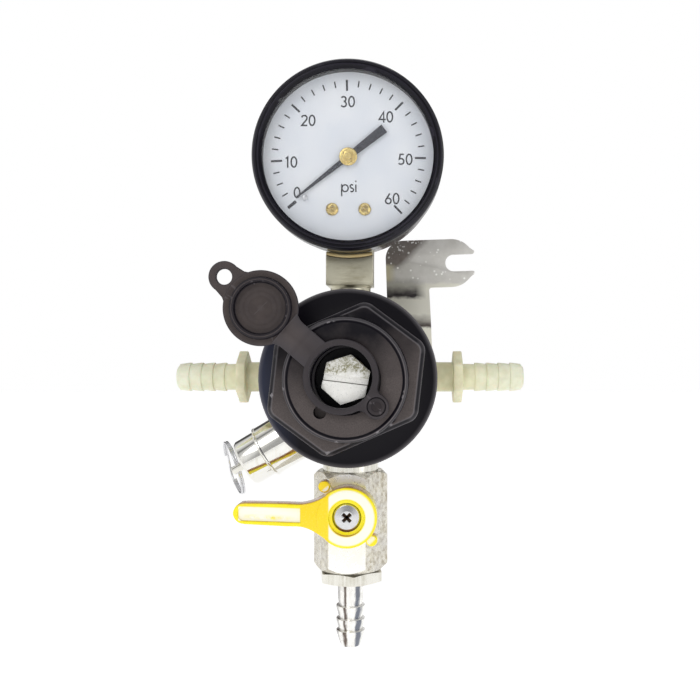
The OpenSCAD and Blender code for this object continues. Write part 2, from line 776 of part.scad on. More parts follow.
module valve_end_barb() color("silver") valve_axis() difference() {
    union() {
        rotate_extrude() polygon(concat([[0, 47], [valve_bore_r - run_gap, 47],
            [valve_bore_r - run_gap, nut_top], [7.4, nut_top], [7.4, nut_bottom - 0.2],
            [4.9, nut_bottom - 0.1], [4.5, nut_bottom + 0.3], [4.4, 68.6], [3.7, 69.6]],
            [for (c = outlet_crests) each [[3.6, c - 0.7], [crest_r, c - 0.5], [crest_r, c]]],
            [[3.2, 82.4], [2.9, outlet_tip], [0, outlet_tip]]));
        translate([0, 0, nut_top]) rotate(nut_turn) turned_hex(18.2, nut_bottom - nut_top, 0.9);
    }
    cylinder(r = 2.2, h = 90);
}

module valve_gasket() color("white") valve_axis() difference() {
    translate([0, 0, valve_bottom + seat_gap])
        cylinder(r = 7.9, h = nut_top - valve_bottom - 2 * seat_gap);
    cylinder(r = valve_bore_r, h = 90);
}

module valve_ball() color("silver") translate([0, 0, -lever_drop]) difference() {
    rotate([0, 90, 0]) rotate_extrude() intersection() {
        circle(r = ball_r);
        translate([ball_bore_r, -10]) square([20, 20]);
    }
    // The slot that takes the stem's tongue
    translate([-10, -8, -tongue_half - 0.1]) cube([20, 4, 2 * tongue_half + 0.2]);
}

module ball_seats() color("white") translate([0, 0, -lever_drop]) difference() {
    for (side = [0, 1])
        mirror([0, 0, side]) translate([0, 0, 3.4]) difference() {
            cylinder(r = valve_bore_r - run_gap, h = 3.35);
            cylinder(r = 3, h = 20, center = true);
        }
    sphere(r = ball_r + 0.08);
}

module valve_stem() color("gold") translate([0, 0, -lever_drop]) difference() {
    union() {
        disc(stem_r, -5.7, lever_back + seat_gap);
        translate([-2.2, -5.8, -tongue_half]) cube([4.4, 1.6, 2 * tongue_half]);
        translate([-stem_square / 2, lever_recess, -stem_square / 2]) cube([stem_square, 7, stem_square]);
    }
    disc(handle_thread_r + seat_gap, -9.9, -30);
}

module stem_packing() color("white") translate([0, 0, -lever_drop]) difference() {
    disc(4.58, -8.62, -11.3);
    disc(stem_r + run_gap, 0, -20);
}

module lever_handle() color("#ffd400") translate([0, 0, -lever_drop]) difference() {
    union() {
        turned([[0, -lever_back], [hub_r - 0.3, -lever_back], [hub_r, -lever_back + 0.3],
            [hub_r, -lever_front - 0.6], [hub_r - 0.6, -lever_front], [0, -lever_front]]);
        for (ear = [[11.2, 128], [10.2, -45]])
            rotate([0, -ear[1], 0]) {
                translate([ear[0] - 1.4, 0, 0]) disc(1.75, -14, -18);
                translate([5, -18, -1.75]) cube([ear[0] - 6.4, 4, 3.5]);
            }
        rotate([0, 2, 0]) lever_arm();
    }
    disc(lever_recess_r, lever_recess, -30);
    translate([-stem_square / 2 - 0.1, lever_recess - 0.5, -stem_square / 2 - 0.1])
        cube([stem_square + 0.2, 10, stem_square + 0.2]);
}

// The arm: a blended root at the hub and a long flat grip with a round end
module lever_arm() {
    front_from(grip_back) linear_extrude(grip_back - grip_front) {
        translate([-lever_reach + grip_half, 0]) circle(r = grip_half);
        translate([-lever_reach + grip_half, -grip_half]) square([lever_reach - grip_half, 2 * grip_half]);
        polygon([[-13.2, -grip_half], [-6, -7.2], [-6, 7.2], [-13.2, grip_half]]);
    }
}

module handle_screw() color("lightgray") translate([0, 0, -lever_drop]) difference() {
    turned([[0, 10], [handle_thread_r, 10], [handle_thread_r, 18.05], [4, 18.05], [3.9, 18.8], [3.3, 19.6],
        [2.2, 20.1], [0, 20.3]]);
    for (turn = [0, 90])
        rotate([0, turn + 4, 0]) translate([-1.9, -21, -0.42]) cube([3.8, 2, 0.84]);
}

/* ---- Wall bracket ---- */

module bracket_tilted() {
    translate([seat_x, 0, seat_z]) rotate([0, -bracket_tilt, 0]) translate([-seat_x, 0, -seat_z]) children();
}

module wall_bracket() color("#b0b0a8") difference() {
    bracket_tilted() {
        front_from(wall_y) linear_extrude(sheet) bracket_ear();
        // The strip steps forwards from the wall to the back of the body
        translate([strip_left, 0, 0]) rotate([90, 0, 90]) linear_extrude(strip_right - strip_left)
            polygon([[wall_y, 32], [wall_y, 29.6], [strip_back + 0.1, 15.4], [strip_back, 14.9],
                [strip_back, -2], [strip_back - sheet, -2], [strip_back - sheet, 15.2],
                [strip_back - sheet + 0.2, 15.8],
                [wall_y - sheet, 30], [wall_y - sheet, 32]]);
        front_from(strip_back) linear_extrude(sheet) {
            translate([strip_left, -2]) square([strip_right - strip_left, 4]);
            translate([(strip_left + strip_right) / 2, -2]) circle(d = strip_right - strip_left);
        }
    }
    for (z = screw_heights)
        translate([screw_x, 0, z]) disc(screw_hole_r, wall_y, 10);
}

module bracket_ear() {
    corner = 6;
    difference() {
        union() {
            translate([strip_left + corner, ear_bottom])
                square([ear_right - ear_end_r - strip_left - corner, ear_top - ear_bottom]);
            translate([strip_left, ear_bottom]) square([10, ear_top - ear_bottom - corner]);
            translate([strip_left + corner, ear_top - corner]) circle(r = corner);
            translate([ear_right - ear_end_r, ear_top - ear_end_r]) circle(r = ear_end_r);
            translate([strip_left, ear_bottom]) square([strip_right - strip_left, 3]);
        }
        translate([seat_x, seat_z]) circle(r = slot_r);
        translate([seat_x, seat_z - slot_r]) square([20, 2 * slot_r]);
    }
}

module bracket_screws() color("silver")
    for (z = screw_heights)
        translate([screw_x, 0, z]) difference() {
            turned([[0, -8.2], [1.95, -8.2], [1.95, -15.75], [3.6, -15.75], [3.5, -16.8], [2.8, -17.9],
                [0, -18.3]]);
            for (turn = [0, 90])
                rotate([0, turn, 0]) translate([-1.8, 17, -0.4]) cube([3.6, 2, 0.8]);
        }

placed() body_casting();
placed() rear_plug();
placed() plug_o_ring();
placed() seat_nozzle();
placed() poppet();
placed() poppet_seal();
placed() poppet_spring();
placed() diaphragm();
placed() diaphragm_plate();
placed() slip_ring();
placed() main_spring();
placed() spring_button();
placed() bonnet();
placed() screw_nut();
placed() adjusting_screw();
placed() tether_ring();
placed() tether_peg();
placed() tether_cap();
placed() gauge_socket();
placed() gauge_case();
placed() gauge_bezel();
placed() gauge_lens();
placed() lens_gasket();
placed() gauge_dial();
placed() dial_screws();
placed() zero_stop_pin();
placed() pointer();
placed() pointer_hub();
placed() bourdon_tube();
placed() tube_tip();
placed() movement_frame();
placed() sector_gear();
placed() pinion_shaft();
placed() hairspring();
placed() gauge_link();
placed() barb_left();
placed() barb_right();
placed() relief_body();
placed() relief_cap();
placed() relief_stem();
placed() relief_seal();
placed() relief_spring();
placed() pull_ring();
placed() valve_body();
placed() valve_end_barb();
placed() valve_gasket();
placed() valve_ball();
placed() ball_seats();
placed() valve_stem();
placed() stem_packing();
placed() lever_handle();
placed() handle_screw();
placed() wall_bracket();
placed() bracket_screws();
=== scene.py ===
"""Looks of a carbon dioxide regulator: detailed meshes and materials around its CAD frame.

Shapes are drawn in millimetres in the object's own design space. Its origin is the centre of the body at the
height of its ports, +Z is up and the front faces -Y. place() carries them to the frame, which is in metres.
"""
import json
import math

import bmesh
import bpy
from mathutils import Matrix, Vector


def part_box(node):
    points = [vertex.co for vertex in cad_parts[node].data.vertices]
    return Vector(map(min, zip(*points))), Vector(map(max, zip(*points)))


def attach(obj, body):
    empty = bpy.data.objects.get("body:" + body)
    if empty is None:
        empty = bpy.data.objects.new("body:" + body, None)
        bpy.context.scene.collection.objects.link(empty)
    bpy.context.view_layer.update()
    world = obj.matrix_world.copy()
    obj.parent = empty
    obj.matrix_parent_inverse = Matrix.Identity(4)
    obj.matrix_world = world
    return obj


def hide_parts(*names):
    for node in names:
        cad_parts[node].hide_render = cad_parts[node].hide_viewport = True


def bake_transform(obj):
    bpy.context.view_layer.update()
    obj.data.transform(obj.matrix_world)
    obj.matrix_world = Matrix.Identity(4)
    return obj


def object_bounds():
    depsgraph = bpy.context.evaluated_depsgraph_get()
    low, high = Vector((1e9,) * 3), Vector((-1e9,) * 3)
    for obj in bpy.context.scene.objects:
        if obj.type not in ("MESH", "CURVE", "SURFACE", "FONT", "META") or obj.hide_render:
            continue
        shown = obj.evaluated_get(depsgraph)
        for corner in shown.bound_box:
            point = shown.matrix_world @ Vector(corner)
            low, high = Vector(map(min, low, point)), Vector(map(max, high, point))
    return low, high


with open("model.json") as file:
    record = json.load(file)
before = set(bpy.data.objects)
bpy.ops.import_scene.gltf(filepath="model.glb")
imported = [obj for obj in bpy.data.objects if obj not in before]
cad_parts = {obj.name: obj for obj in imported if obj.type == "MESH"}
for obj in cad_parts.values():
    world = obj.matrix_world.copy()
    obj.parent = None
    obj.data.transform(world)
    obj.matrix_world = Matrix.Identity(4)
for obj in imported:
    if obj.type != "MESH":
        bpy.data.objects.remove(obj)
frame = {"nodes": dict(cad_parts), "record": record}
CAD_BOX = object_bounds()
MM = 0.001


# ---- Places and sizes read from the frame ----

def centre_of(node):
    low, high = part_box(node)
    return (low + high) / 2


BODY = centre_of("body_casting")
PORTS = centre_of("barb_right")
ORIGIN = Vector((BODY.x, PORTS.y, PORTS.z))


def mm_box(node):
    """Lowest and highest corner of a CAD node in millimetres of design space."""
    low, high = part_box(node)
    return (low - ORIGIN) / MM, (high - ORIGIN) / MM


GAUGE = (centre_of("gauge_dial") - ORIGIN) / MM
LEVER = (centre_of("handle_screw") - ORIGIN) / MM

# Degrees that the adjusting screw's slot and the lever's arm are away from level
SLOT_TURN = -7
LEVER_TILT = 2.0


# ---- Mesh helpers ----

def place(vertices):
    return [ORIGIN + Vector(v) * MM for v in vertices]


def shift(x=0.0, y=0.0, z=0.0):
    return Matrix.Translation((x, y, z))


def spin(degrees, axis="Z"):
    return Matrix.Rotation(math.radians(degrees), 4, axis)


def facing(y=0.0, x=0.0, z=0.0):
    """Carries a drawing whose Z is its height to one that faces the front from the plane at y."""
    return shift(x, y, z) @ spin(90, "X")


def port(angle, start=(0, 0, 0)):
    """Carries a drawing along Z to one that runs out of the body at this angle, seen from the front."""
    return shift(*start) @ spin(90 - angle, "Y")


def mesh_object(name, vertices, faces, matrix=None):
    """An object from vertices in design millimetres, which the matrix moves first."""
    matrix = matrix or Matrix()
    mesh = bpy.data.meshes.new(name)
    mesh.from_pydata(place([matrix @ Vector(v) for v in vertices]), [], faces)
    made = bpy.data.objects.new(name, mesh)
    bpy.context.scene.collection.objects.link(made)
    return made


def new_piece(name, vertices, faces, look, matrix=None, replaces=(), body="regulator", smooth=35):
    """A piece that rides on a body, in the record's slot that its look belongs to."""
    piece = mesh_object(name, vertices, faces, matrix)
    piece.data.validate()
    tidy_normals(piece, smooth)
    piece.data.materials.append(LOOKS[look])
    if body:
        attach(piece, body)
    if replaces:
        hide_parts(*replaces)
    return piece


def tidy_normals(piece, smooth=35):
    """Faces point outwards, and edges sharper than this angle in degrees stay sharp."""
    b = bmesh.new()
    b.from_mesh(piece.data)
    bmesh.ops.remove_doubles(b, verts=b.verts, dist=1e-7)
    bmesh.ops.recalc_face_normals(b, faces=b.faces)
    limit = math.radians(smooth)
    for face in b.faces:
        face.smooth = True
    for edge in b.edges:
        edge.smooth = len(edge.link_faces) == 2 and edge.calc_face_angle(0) < limit
    b.to_mesh(piece.data)
    b.free()


def apply_modifiers(piece):
    graph = bpy.context.evaluated_depsgraph_get()
    mesh = bpy.data.meshes.new_from_object(piece.evaluated_get(graph))
    old = piece.data
    piece.modifiers.clear()
    piece.data = mesh
    mesh.name = old.name
    bpy.data.meshes.remove(old)


def bevel(piece, width, segments=3, angle=30):
    """Rounds a piece's edges that are sharper than angle. width is in millimetres."""
    m = piece.modifiers.new("bevel", "BEVEL")
    m.width = width * MM
    m.segments = segments
    m.limit_method = "ANGLE"
    m.angle_limit = math.radians(angle)
    m.use_clamp_overlap = True
    apply_modifiers(piece)
    tidy_normals(piece)


def cut(piece, part, matrix, operation="DIFFERENCE"):
    """Cuts a part out of a piece, or joins it."""
    tool = mesh_object("tool", *part, matrix)
    tidy_normals(tool)
    bpy.context.view_layer.update()
    m = piece.modifiers.new("cut", "BOOLEAN")
    m.object = tool
    m.operation = operation
    m.solver = "EXACT"
    apply_modifiers(piece)
    mesh = tool.data
    bpy.data.objects.remove(tool)
    bpy.data.meshes.remove(mesh)


# ---- Loops and lofts ----

SIDES = 192
FINE_SIDES = 360
CORNER_STEPS = 4


def rounded_polygon(flats, corner):
    """Radius of a convex outline as a function of the angle.

    Each flat is (the angle of its normal in degrees, its distance from the centre), in turn. The corners are
    rounded with the radius corner.
    """
    inner = [(math.radians(normal), distance - corner) for normal, distance in flats]
    corners = []
    for (angle_a, near_a), (angle_b, near_b) in zip(inner, inner[1:] + inner[:1]):
        apart = angle_b - angle_a
        x = (near_a * math.sin(angle_b) - near_b * math.sin(angle_a)) / math.sin(apart)
        y = (near_b * math.cos(angle_a) - near_a * math.cos(angle_b)) / math.sin(apart)
        corners.append((math.hypot(x, y), math.atan2(y, x)))

    def radius(angle):
        best = 0.0
        for (away, towards), (normal, near), (_, before) in zip(corners, inner, corners[-1:] + corners[:-1]):
            off = away * math.sin(angle - towards)
            if abs(off) <= corner and math.cos(angle - towards) > 0:
                best = max(best, away * math.cos(angle - towards) + math.sqrt(corner**2 - off**2))
            if math.cos(angle - normal) > 0.3:
                reach = (near + corner) / math.cos(angle - normal)
                along = reach * math.sin(angle - normal)
                low = near * math.tan(before - normal)
                high = near * math.tan(towards - normal)
                if low <= along <= high:
                    best = max(best, reach)
        return best

    return radius


def hexagon(across, corner=0.05, turn=0.0):
    """Radius of a rounded hexagon as a function of the angle. A corner points to turn, in degrees."""
    return rounded_polygon([(turn + 30 + 60 * k, across / 2) for k in range(6)], corner)


def loop(radius, height, count=SIDES):
    """A closed loop of points about Z. Its radius and its height are numbers or functions of the angle."""
    points = []
    for i in range(count):
        angle = 2 * math.pi * i / count
        r = radius(angle) if callable(radius) else radius
        h = height(angle) if callable(height) else height
        points.append((r * math.cos(angle), r * math.sin(angle), h))
    return points


def loft(loops, ring=False):
    """A closed skin over loops of equal length. A ring joins the last to the first. Else both ends close."""
    count = len(loops[0])
    vertices = [point for one in loops for point in one]
    pairs = [(k, k + 1) for k in range(len(loops) - 1)]
    if ring:
        pairs.append((len(loops) - 1, 0))
    faces = []
    for a, b in pairs:
        for i in range(count):
            j = (i + 1) % count
            faces.append((a * count + i, a * count + j, b * count + j, b * count + i))
    if not ring:
        faces.append(tuple(reversed(range(count))))
        faces.append(tuple(range((len(loops) - 1) * count, len(loops) * count)))
    return vertices, faces


def rounded(points, closed=True):
    """A profile of points (r, h). A point's third value is the radius that rounds its corner."""
    result = []
    for i, point in enumerate(points):
        here = Vector(point[:2])
        radius = point[2] if len(point) > 2 else 0
        at_end = not closed and i in (0, len(points) - 1)
        if radius == 0 or at_end:
            result.append(tuple(here))
            continue
        before = Vector(points[i - 1][:2]) - here
        after = Vector(points[(i + 1) % len(points)][:2]) - here
        half = before.angle(after) / 2
        if half > math.radians(89):
            result.append(tuple(here))
            continue
        reach = min(radius / math.tan(half), before.length * 0.49, after.length * 0.49)
        inwards = (before.normalized() + after.normalized()).normalized()
        centre = here + inwards * (reach / math.cos(half))
        first = here + before.normalized() * reach - centre
        last = here + after.normalized() * reach - centre
        sweep = first.angle(last)
        for k in range(CORNER_STEPS + 1):
            t = k / CORNER_STEPS
            swung = first * math.sin((1 - t) * sweep) + last * math.sin(t * sweep)
            result.append(tuple(centre + swung / math.sin(sweep)))
    return result


def revolve(points, ring=False, count=SIDES):
    """A body of revolution about Z from a rounded profile. Without ring, its ends are flat or on the axis."""
    return loft([loop(r, h, count) for r, h in rounded(points, closed=ring)], ring)


def rod(r, low, high, count=64):
    """A plain cylinder about Z."""
    return revolve([(0, low), (r, low), (r, high), (0, high)], count=count)


def turned_hex(across, bottom, top, relief, turn=0.0, bore=0.0):
    """A hexagonal nut whose corners are turned down at both ends, so that each flat ends in an arc."""
    outline = hexagon(across, 0.25, turn)
    face_r = across / 2 * 0.985
    corner_r = outline(math.radians(turn))

    def shoulder(end, inwards):
        def height(angle):
            share = (outline(angle) - face_r) / (corner_r - face_r)
            return end + inwards * relief * max(0.0, share)
        return height

    loops = [loop(face_r, bottom), loop(outline, shoulder(bottom, 1)), loop(outline, shoulder(top, -1)),
             loop(face_r, top)]
    if bore:
        loops += [loop(bore, top), loop(bore, bottom)]
    return loft(loops, ring=bore > 0)


def prism(outline, low, high):
    """A flat outline of (x, y) points drawn up from one height to another."""
    return loft([[(x, y, low) for x, y in outline], [(x, y, high) for x, y in outline]])


def arc(cx, cy, r, start, end, steps=12):
    """Points along an arc, with its angles in degrees."""
    angles = [math.radians(start + (end - start) * k / steps) for k in range(steps + 1)]
    return [(cx + r * math.cos(a), cy + r * math.sin(a)) for a in angles]


def box_at(low, high):
    (x0, y0, z0), (x1, y1, z1) = low, high
    return prism([(x0, y0), (x1, y0), (x1, y1), (x0, y1)], z0, z1)


def sweep_tube(path, radius, sides=12):
    """A round tube along a path of points, without twist."""
    points = [Vector(p) for p in path]
    normal = None
    rings = []
    for i, point in enumerate(points):
        tangent = (points[min(i + 1, len(points) - 1)] - points[max(i - 1, 0)]).normalized()
        if normal is None:
            normal = tangent.orthogonal().normalized()
        normal = (normal - tangent * normal.dot(tangent)).normalized()
        side = tangent.cross(normal)
        section = arc(0, 0, radius, 0, 360 * (sides - 1) / sides, sides - 1)
        rings.append([tuple(point + normal * across + side * up) for across, up in section])
    return loft(rings)


def joined(*parts):
    """Several lists of vertices and faces as one."""
    vertices = []
    faces = []
    for part_vertices, part_faces in parts:
        start = len(vertices)
        vertices += list(part_vertices)
        faces += [tuple(start + i for i in face) for face in part_faces]
    return vertices, faces


def moved(part, matrix):
    vertices, faces = part
    return [tuple(matrix @ Vector(v)) for v in vertices], faces


# ---- Material helpers ----

def linear(red, green, blue):
    """A colour given as on a screen, from 0 to 255, in the renderer's own scale."""
    def channel(value):
        share = value / 255
        return share / 12.92 if share <= 0.04045 else ((share + 0.055) / 1.055) ** 2.4
    return (channel(red), channel(green), channel(blue), 1.0)


class Look:
    """A material under construction. Its patterns are drawn in metres, in the place of each piece at rest."""

    def __init__(self, name, colour, roughness, metallic=0.0, **sockets):
        self.material = bpy.data.materials.new(name)
        self.material.use_nodes = True
        self.tree = self.material.node_tree
        self.shader = self.tree.nodes["Principled BSDF"]
        self.shader.inputs["Base Color"].default_value = colour
        self.shader.inputs["Roughness"].default_value = roughness
        self.shader.inputs["Metallic"].default_value = metallic
        for socket, value in sockets.items():
            self.shader.inputs[socket.replace("_", " ")].default_value = value
        self.place = self.tree.nodes.new("ShaderNodeTexCoord").outputs["Object"]
        self.base = colour

    def node(self, kind, **inputs):
        made = self.tree.nodes.new(kind)
        for name, value in inputs.items():
            self.feed(made.inputs[name.replace("_", " ")], value)
        return made

    def feed(self, socket, value):
        if isinstance(value, bpy.types.NodeSocket):
            self.tree.links.new(value, socket)
        else:
            socket.default_value = value

    def stretched(self, x, y, z):
        """Places scaled along each axis, for a grain that runs one way."""
        made = self.node("ShaderNodeMapping", Vector=self.place)
        made.inputs["Scale"].default_value = (x, y, z)
        return made.outputs["Vector"]

    def noise(self, size_mm, detail=3.0, roughness=0.55, vector=None, low=0.35, high=0.65):
        """Noise whose features are about this large, spread from 0 to 1 between the two levels."""
        made = self.node("ShaderNodeTexNoise", Vector=vector or self.place, Scale=1000.0 / size_mm,
                         Detail=detail, Roughness=roughness)
        return self.spread(made.outputs["Fac"], low, high)

    def spread(self, value, low, high, to_low=0.0, to_high=1.0):
        made = self.node("ShaderNodeMapRange", Value=value)
        for name, number in (("From Min", low), ("From Max", high), ("To Min", to_low), ("To Max", to_high)):
            made.inputs[name].default_value = number
        return made.outputs["Result"]

    def cells(self, size_mm, low, high):
        """Round specks at random places: 1 at their middle and 0 between them."""
        made = self.node("ShaderNodeTexVoronoi", Vector=self.place, Scale=1000.0 / size_mm)
        return self.spread(made.outputs["Distance"], low, high)

    def maths(self, operation, a, b=0.0, clamp=True):
        made = self.tree.nodes.new("ShaderNodeMath")
        made.operation = operation
        made.use_clamp = clamp
        self.feed(made.inputs[0], a)
        self.feed(made.inputs[1], b)
        return made.outputs[0]

    def times(self, *values):
        """A product that stays between 0 and 1."""
        result = values[0]
        for value in values[1:]:
            result = self.maths("MULTIPLY", result, value)
        return result

    def slanted(self, a, slope, b):
        """a + slope * b, without limits."""
        return self.maths("ADD", a, self.maths("MULTIPLY", b, slope, False), False)

    def mix(self, share, a, b):
        made = self.tree.nodes.new("ShaderNodeMix")
        made.data_type = "RGBA"
        # A mix node has sockets for each data type, and its colours are the ones at these places
        self.feed(made.inputs[0], share)
        self.feed(made.inputs[6], a)
        self.feed(made.inputs[7], b)
        return made.outputs[2]

    def at(self, name):
        """The place along X, Y or Z in millimetres of design space."""
        place = self.node("ShaderNodeSeparateXYZ", Vector=self.place).outputs[name]
        from_origin = self.maths("SUBTRACT", place, getattr(ORIGIN, name.lower()), False)
        return self.maths("MULTIPLY", from_origin, 1 / MM, False)

    def from_axis(self, x=0.0, z=0.0):
        """The distance in millimetres from the axis that runs from front to back through this place."""
        squares = []
        for name, middle in (("X", x), ("Z", z)):
            off = self.maths("SUBTRACT", self.at(name), middle, False)
            squares.append(self.maths("MULTIPLY", off, off, False))
        return self.maths("SQRT", self.maths("ADD", *squares, False), 0.0, False)

    def between(self, value, low, high, soft):
        """1 where the value lies between low and high, and 0 outside."""
        above = self.spread(value, low - soft, low + soft)
        return self.times(above, self.spread(value, high + soft, high - soft))

    def faces(self, name):
        """How squarely a surface faces along X, Y or Z: 1 with the axis, and -1 against it."""
        normal = self.tree.nodes.new("ShaderNodeNewGeometry").outputs["Normal"]
        return self.node("ShaderNodeSeparateXYZ", Vector=normal).outputs[name]

    def faces_front(self):
        """1 on surfaces that face the front squarely."""
        return self.spread(self.faces("Y"), -0.9, -0.99)

    def near_edges(self, softness):
        """1 along convex edges and 0 on flats. With more softness, only sharper edges reach 1."""
        made = self.tree.nodes.new("ShaderNodeNewGeometry")
        return self.spread(made.outputs["Pointiness"], 0.5, 0.5 + softness * 0.1)

    def paint(self, share, colour):
        """Lays a colour over the ones before it, as far as share says."""
        self.base = self.mix(share, self.base, colour)
        self.feed(self.shader.inputs["Base Color"], self.base)

    def roughness(self, value, low, high):
        """Roughness between two levels, as value goes from 0 to 1."""
        self.feed(self.shader.inputs["Roughness"], self.spread(value, 0, 1, low, high))

    def bump(self, height, distance_mm):
        made = self.node("ShaderNodeBump", Height=height)
        made.inputs["Distance"].default_value = distance_mm * MM
        made.inputs["Strength"].default_value = 1.0
        self.feed(self.shader.inputs["Normal"], made.outputs["Normal"])


# ---- Materials ----

def plated_metal(name, colour, shade, roughness, grain=(1, 1, 1), wear=0.25):
    """Bright plating with a faint grain, clouding and fine pits."""
    look = Look(name, colour, roughness, metallic=1.0)
    streaks = look.noise(0.9, detail=4.0, vector=look.stretched(*grain))
    cloud = look.times(look.noise(6.0, detail=5.0), streaks)
    look.paint(look.times(cloud, wear * 2), shade)
    look.roughness(cloud, roughness, roughness + 0.12)
    look.bump(look.maths("ADD", streaks, look.cells(0.8, 0.0, 0.12)), 0.004)
    return look.material


def brass_metal(name, colour, shade, roughness=0.24):
    """Turned brass with a fine tooling grain and faint tarnish. Its edges are darker with a painted dark
    reflection.
    """
    look = Look(name, colour, roughness, metallic=1.0)
    tarnish = look.noise(2.5, detail=6.0)
    tooling = look.noise(0.25, detail=2.0)
    look.paint(look.times(tarnish, 0.6), shade)
    # Painted dark reflection along the convex edges
    look.paint(look.times(look.near_edges(0.35), 0.6), linear(128, 92, 34))
    look.roughness(look.times(tarnish, tooling), roughness, roughness + 0.2)
    look.bump(tooling, 0.004)
    return look.material


def mottled(name, first, roughness, pattern, shades, roughs, relief=None, **sockets):
    """A plain finish in two shades, whose pattern of (size in mm, detail) also varies its gloss."""
    look = Look(name, linear(*first), roughness, **sockets)
    mottle = look.noise(pattern[0], detail=pattern[1])
    look.base = linear(*shades[0])
    look.paint(mottle, linear(*shades[1]))
    look.roughness(mottle, *roughs)
    if relief:
        size_mm, depth_mm = relief
        look.bump(look.noise(size_mm), depth_mm)
    return look.material


def bonnet_plastic():
    """Satin black moulding with a fine texture. Its front faces take a brownish tint towards the bottom,
    partly a dusting and partly painted light; the flange's left side has a painted bluish sheen, and its
    outer edges painted pale highlights.
    """
    look = Look("bonnet_plastic", linear(24, 22, 30), 0.42, Specular_IOR_Level=0.16)
    forward = look.spread(look.at("Y"), -22.0, -23.6)
    # Painted light: a share that grows towards the bottom and a little to the right, where the front faces
    # look lit
    lower = look.spread(look.slanted(look.at("Z"), -0.25, look.at("X")), 13.0, -6.0)
    cloud = look.noise(9.0, detail=6.0, low=0.3, high=0.7)
    fine = look.noise(0.35, detail=4.0, roughness=0.7)
    dust_and_sheen_share = look.spread(look.maths("ADD", lower, look.times(cloud, 0.35)), 0.1, 1.2)
    # Where the brownish tint goes: partly a dusting, partly painted light
    sheen_tint = look.times(forward, look.faces_front(), dust_and_sheen_share)
    # Painted bluish sheen on the left side of the flange
    left = look.times(look.spread(look.at("X"), -14.0, -25.0), look.spread(look.at("Y"), -16.5, -15.0))
    outside_face = look.spread(look.from_axis(), 16.5, 16.8, 0.0, 0.6)
    look.base = linear(10, 7, 16)
    look.paint(left, linear(52, 56, 74))
    look.paint(look.times(sheen_tint, look.spread(fine, 0, 1, 0.7, 1.0)), linear(100, 92, 90))
    # Painted pale highlights along the outer edges
    look.paint(look.times(look.near_edges(0.6), outside_face), linear(156, 152, 156))
    look.roughness(look.times(sheen_tint, fine), 0.34, 0.6)
    look.bump(look.maths("ADD", fine, look.noise(0.12, detail=2.0)), 0.01)
    return look.material


def tether_rubber():
    """Matt charcoal moulding with fine flow lines. Its faces that look straight ahead are browner, more so
    further from the middle, and its edges carry a painted pale highlight.
    """
    look = Look("tether_rubber", linear(50, 46, 50), 0.5, Specular_IOR_Level=0.2)
    cloud = look.noise(5.0, detail=6.0, low=0.3, high=0.7)
    fine = look.noise(0.3, detail=4.0, roughness=0.7)
    outward = look.spread(look.from_axis(), 10.0, 19.0, 0.25, 1.0)
    look.base = linear(22, 18, 25)
    # Browner on faces that look straight ahead, more so further from the middle
    look.paint(look.times(look.faces_front(), outward, look.spread(cloud, 0, 1, 0.6, 1.0)), linear(70, 62, 60))
    # Painted pale highlight along the edges
    look.paint(look.times(look.near_edges(0.6), 0.4), linear(104, 99, 102))
    look.roughness(fine, 0.42, 0.62)
    look.bump(fine, 0.01)
    return look.material


def gloss_black():
    """Black enamel on pressed steel, with a slight ripple. The case's side behind the bezel carries a painted
    pale reflection, greyer on the left and browner on the right, and the edges a faint painted highlight.
    """
    look = Look("gauge_black", linear(8, 8, 12), 0.2, Specular_IOR_Level=0.2)
    ripple = look.noise(7.0, detail=2.0)
    fine = look.noise(0.5, detail=3.0)
    behind = look.times(look.spread(look.at("Y"), -7.6, -6.8), look.spread(look.at("Y"), 8.0, -3.0))
    # Painted reflection of the pale surroundings on the case's side behind the bezel
    sheen_tint = look.mix(look.spread(look.at("X"), -8.0, 8.0), linear(150, 148, 146), linear(120, 106, 96))
    look.base = linear(4, 3, 10)
    look.paint(ripple, linear(10, 8, 20))
    look.paint(look.times(behind, 0.8), sheen_tint)
    # Faint painted highlight along the edges
    look.paint(look.times(look.near_edges(0.5), 0.2), linear(84, 80, 96))
    look.roughness(fine, 0.16, 0.28)
    look.bump(look.maths("ADD", look.times(fine, 0.3), ripple), 0.008)
    return look.material


def dial_paint():
    """Satin white paint, very slightly blue and faintly uneven."""
    look = Look("dial_white", linear(222, 226, 233), 0.5, Specular_IOR_Level=0.2)
    grain = look.noise(0.2, detail=2.0)
    look.base = linear(216, 221, 229)
    look.paint(look.noise(14.0, detail=3.0), linear(228, 231, 236))
    look.roughness(grain, 0.42, 0.58)
    look.bump(grain, 0.003)
    return look.material


def lens_clear():
    """A clear pane that shows only its gloss."""
    look = Look("lens_clear", (0.95, 0.97, 1.0, 1.0), 0.03, Alpha=0.05)
    look.roughness(look.noise(12.0), 0.02, 0.06)
    return look.material


def ivory_plastic():
    """Natural acetal: translucent ivory, a little greener towards the tips, with a faint mould grain."""
    look = Look("ivory_plastic", linear(228, 226, 196), 0.42, Subsurface_Weight=0.15, Subsurface_Scale=0.002,
                Specular_IOR_Level=0.35)
    tipwards = look.spread(look.maths("ABSOLUTE", look.at("X"), 0.0, False), 30.0, 52.0)
    mottle = look.noise(3.0, detail=5.0)
    look.base = look.mix(mottle, linear(214, 210, 172), linear(228, 224, 190))
    look.paint(tipwards, look.mix(mottle, linear(222, 224, 198), linear(236, 238, 216)))
    look.roughness(look.noise(0.5), 0.36, 0.5)
    look.bump(look.noise(0.4, detail=4.0), 0.01)
    return look.material


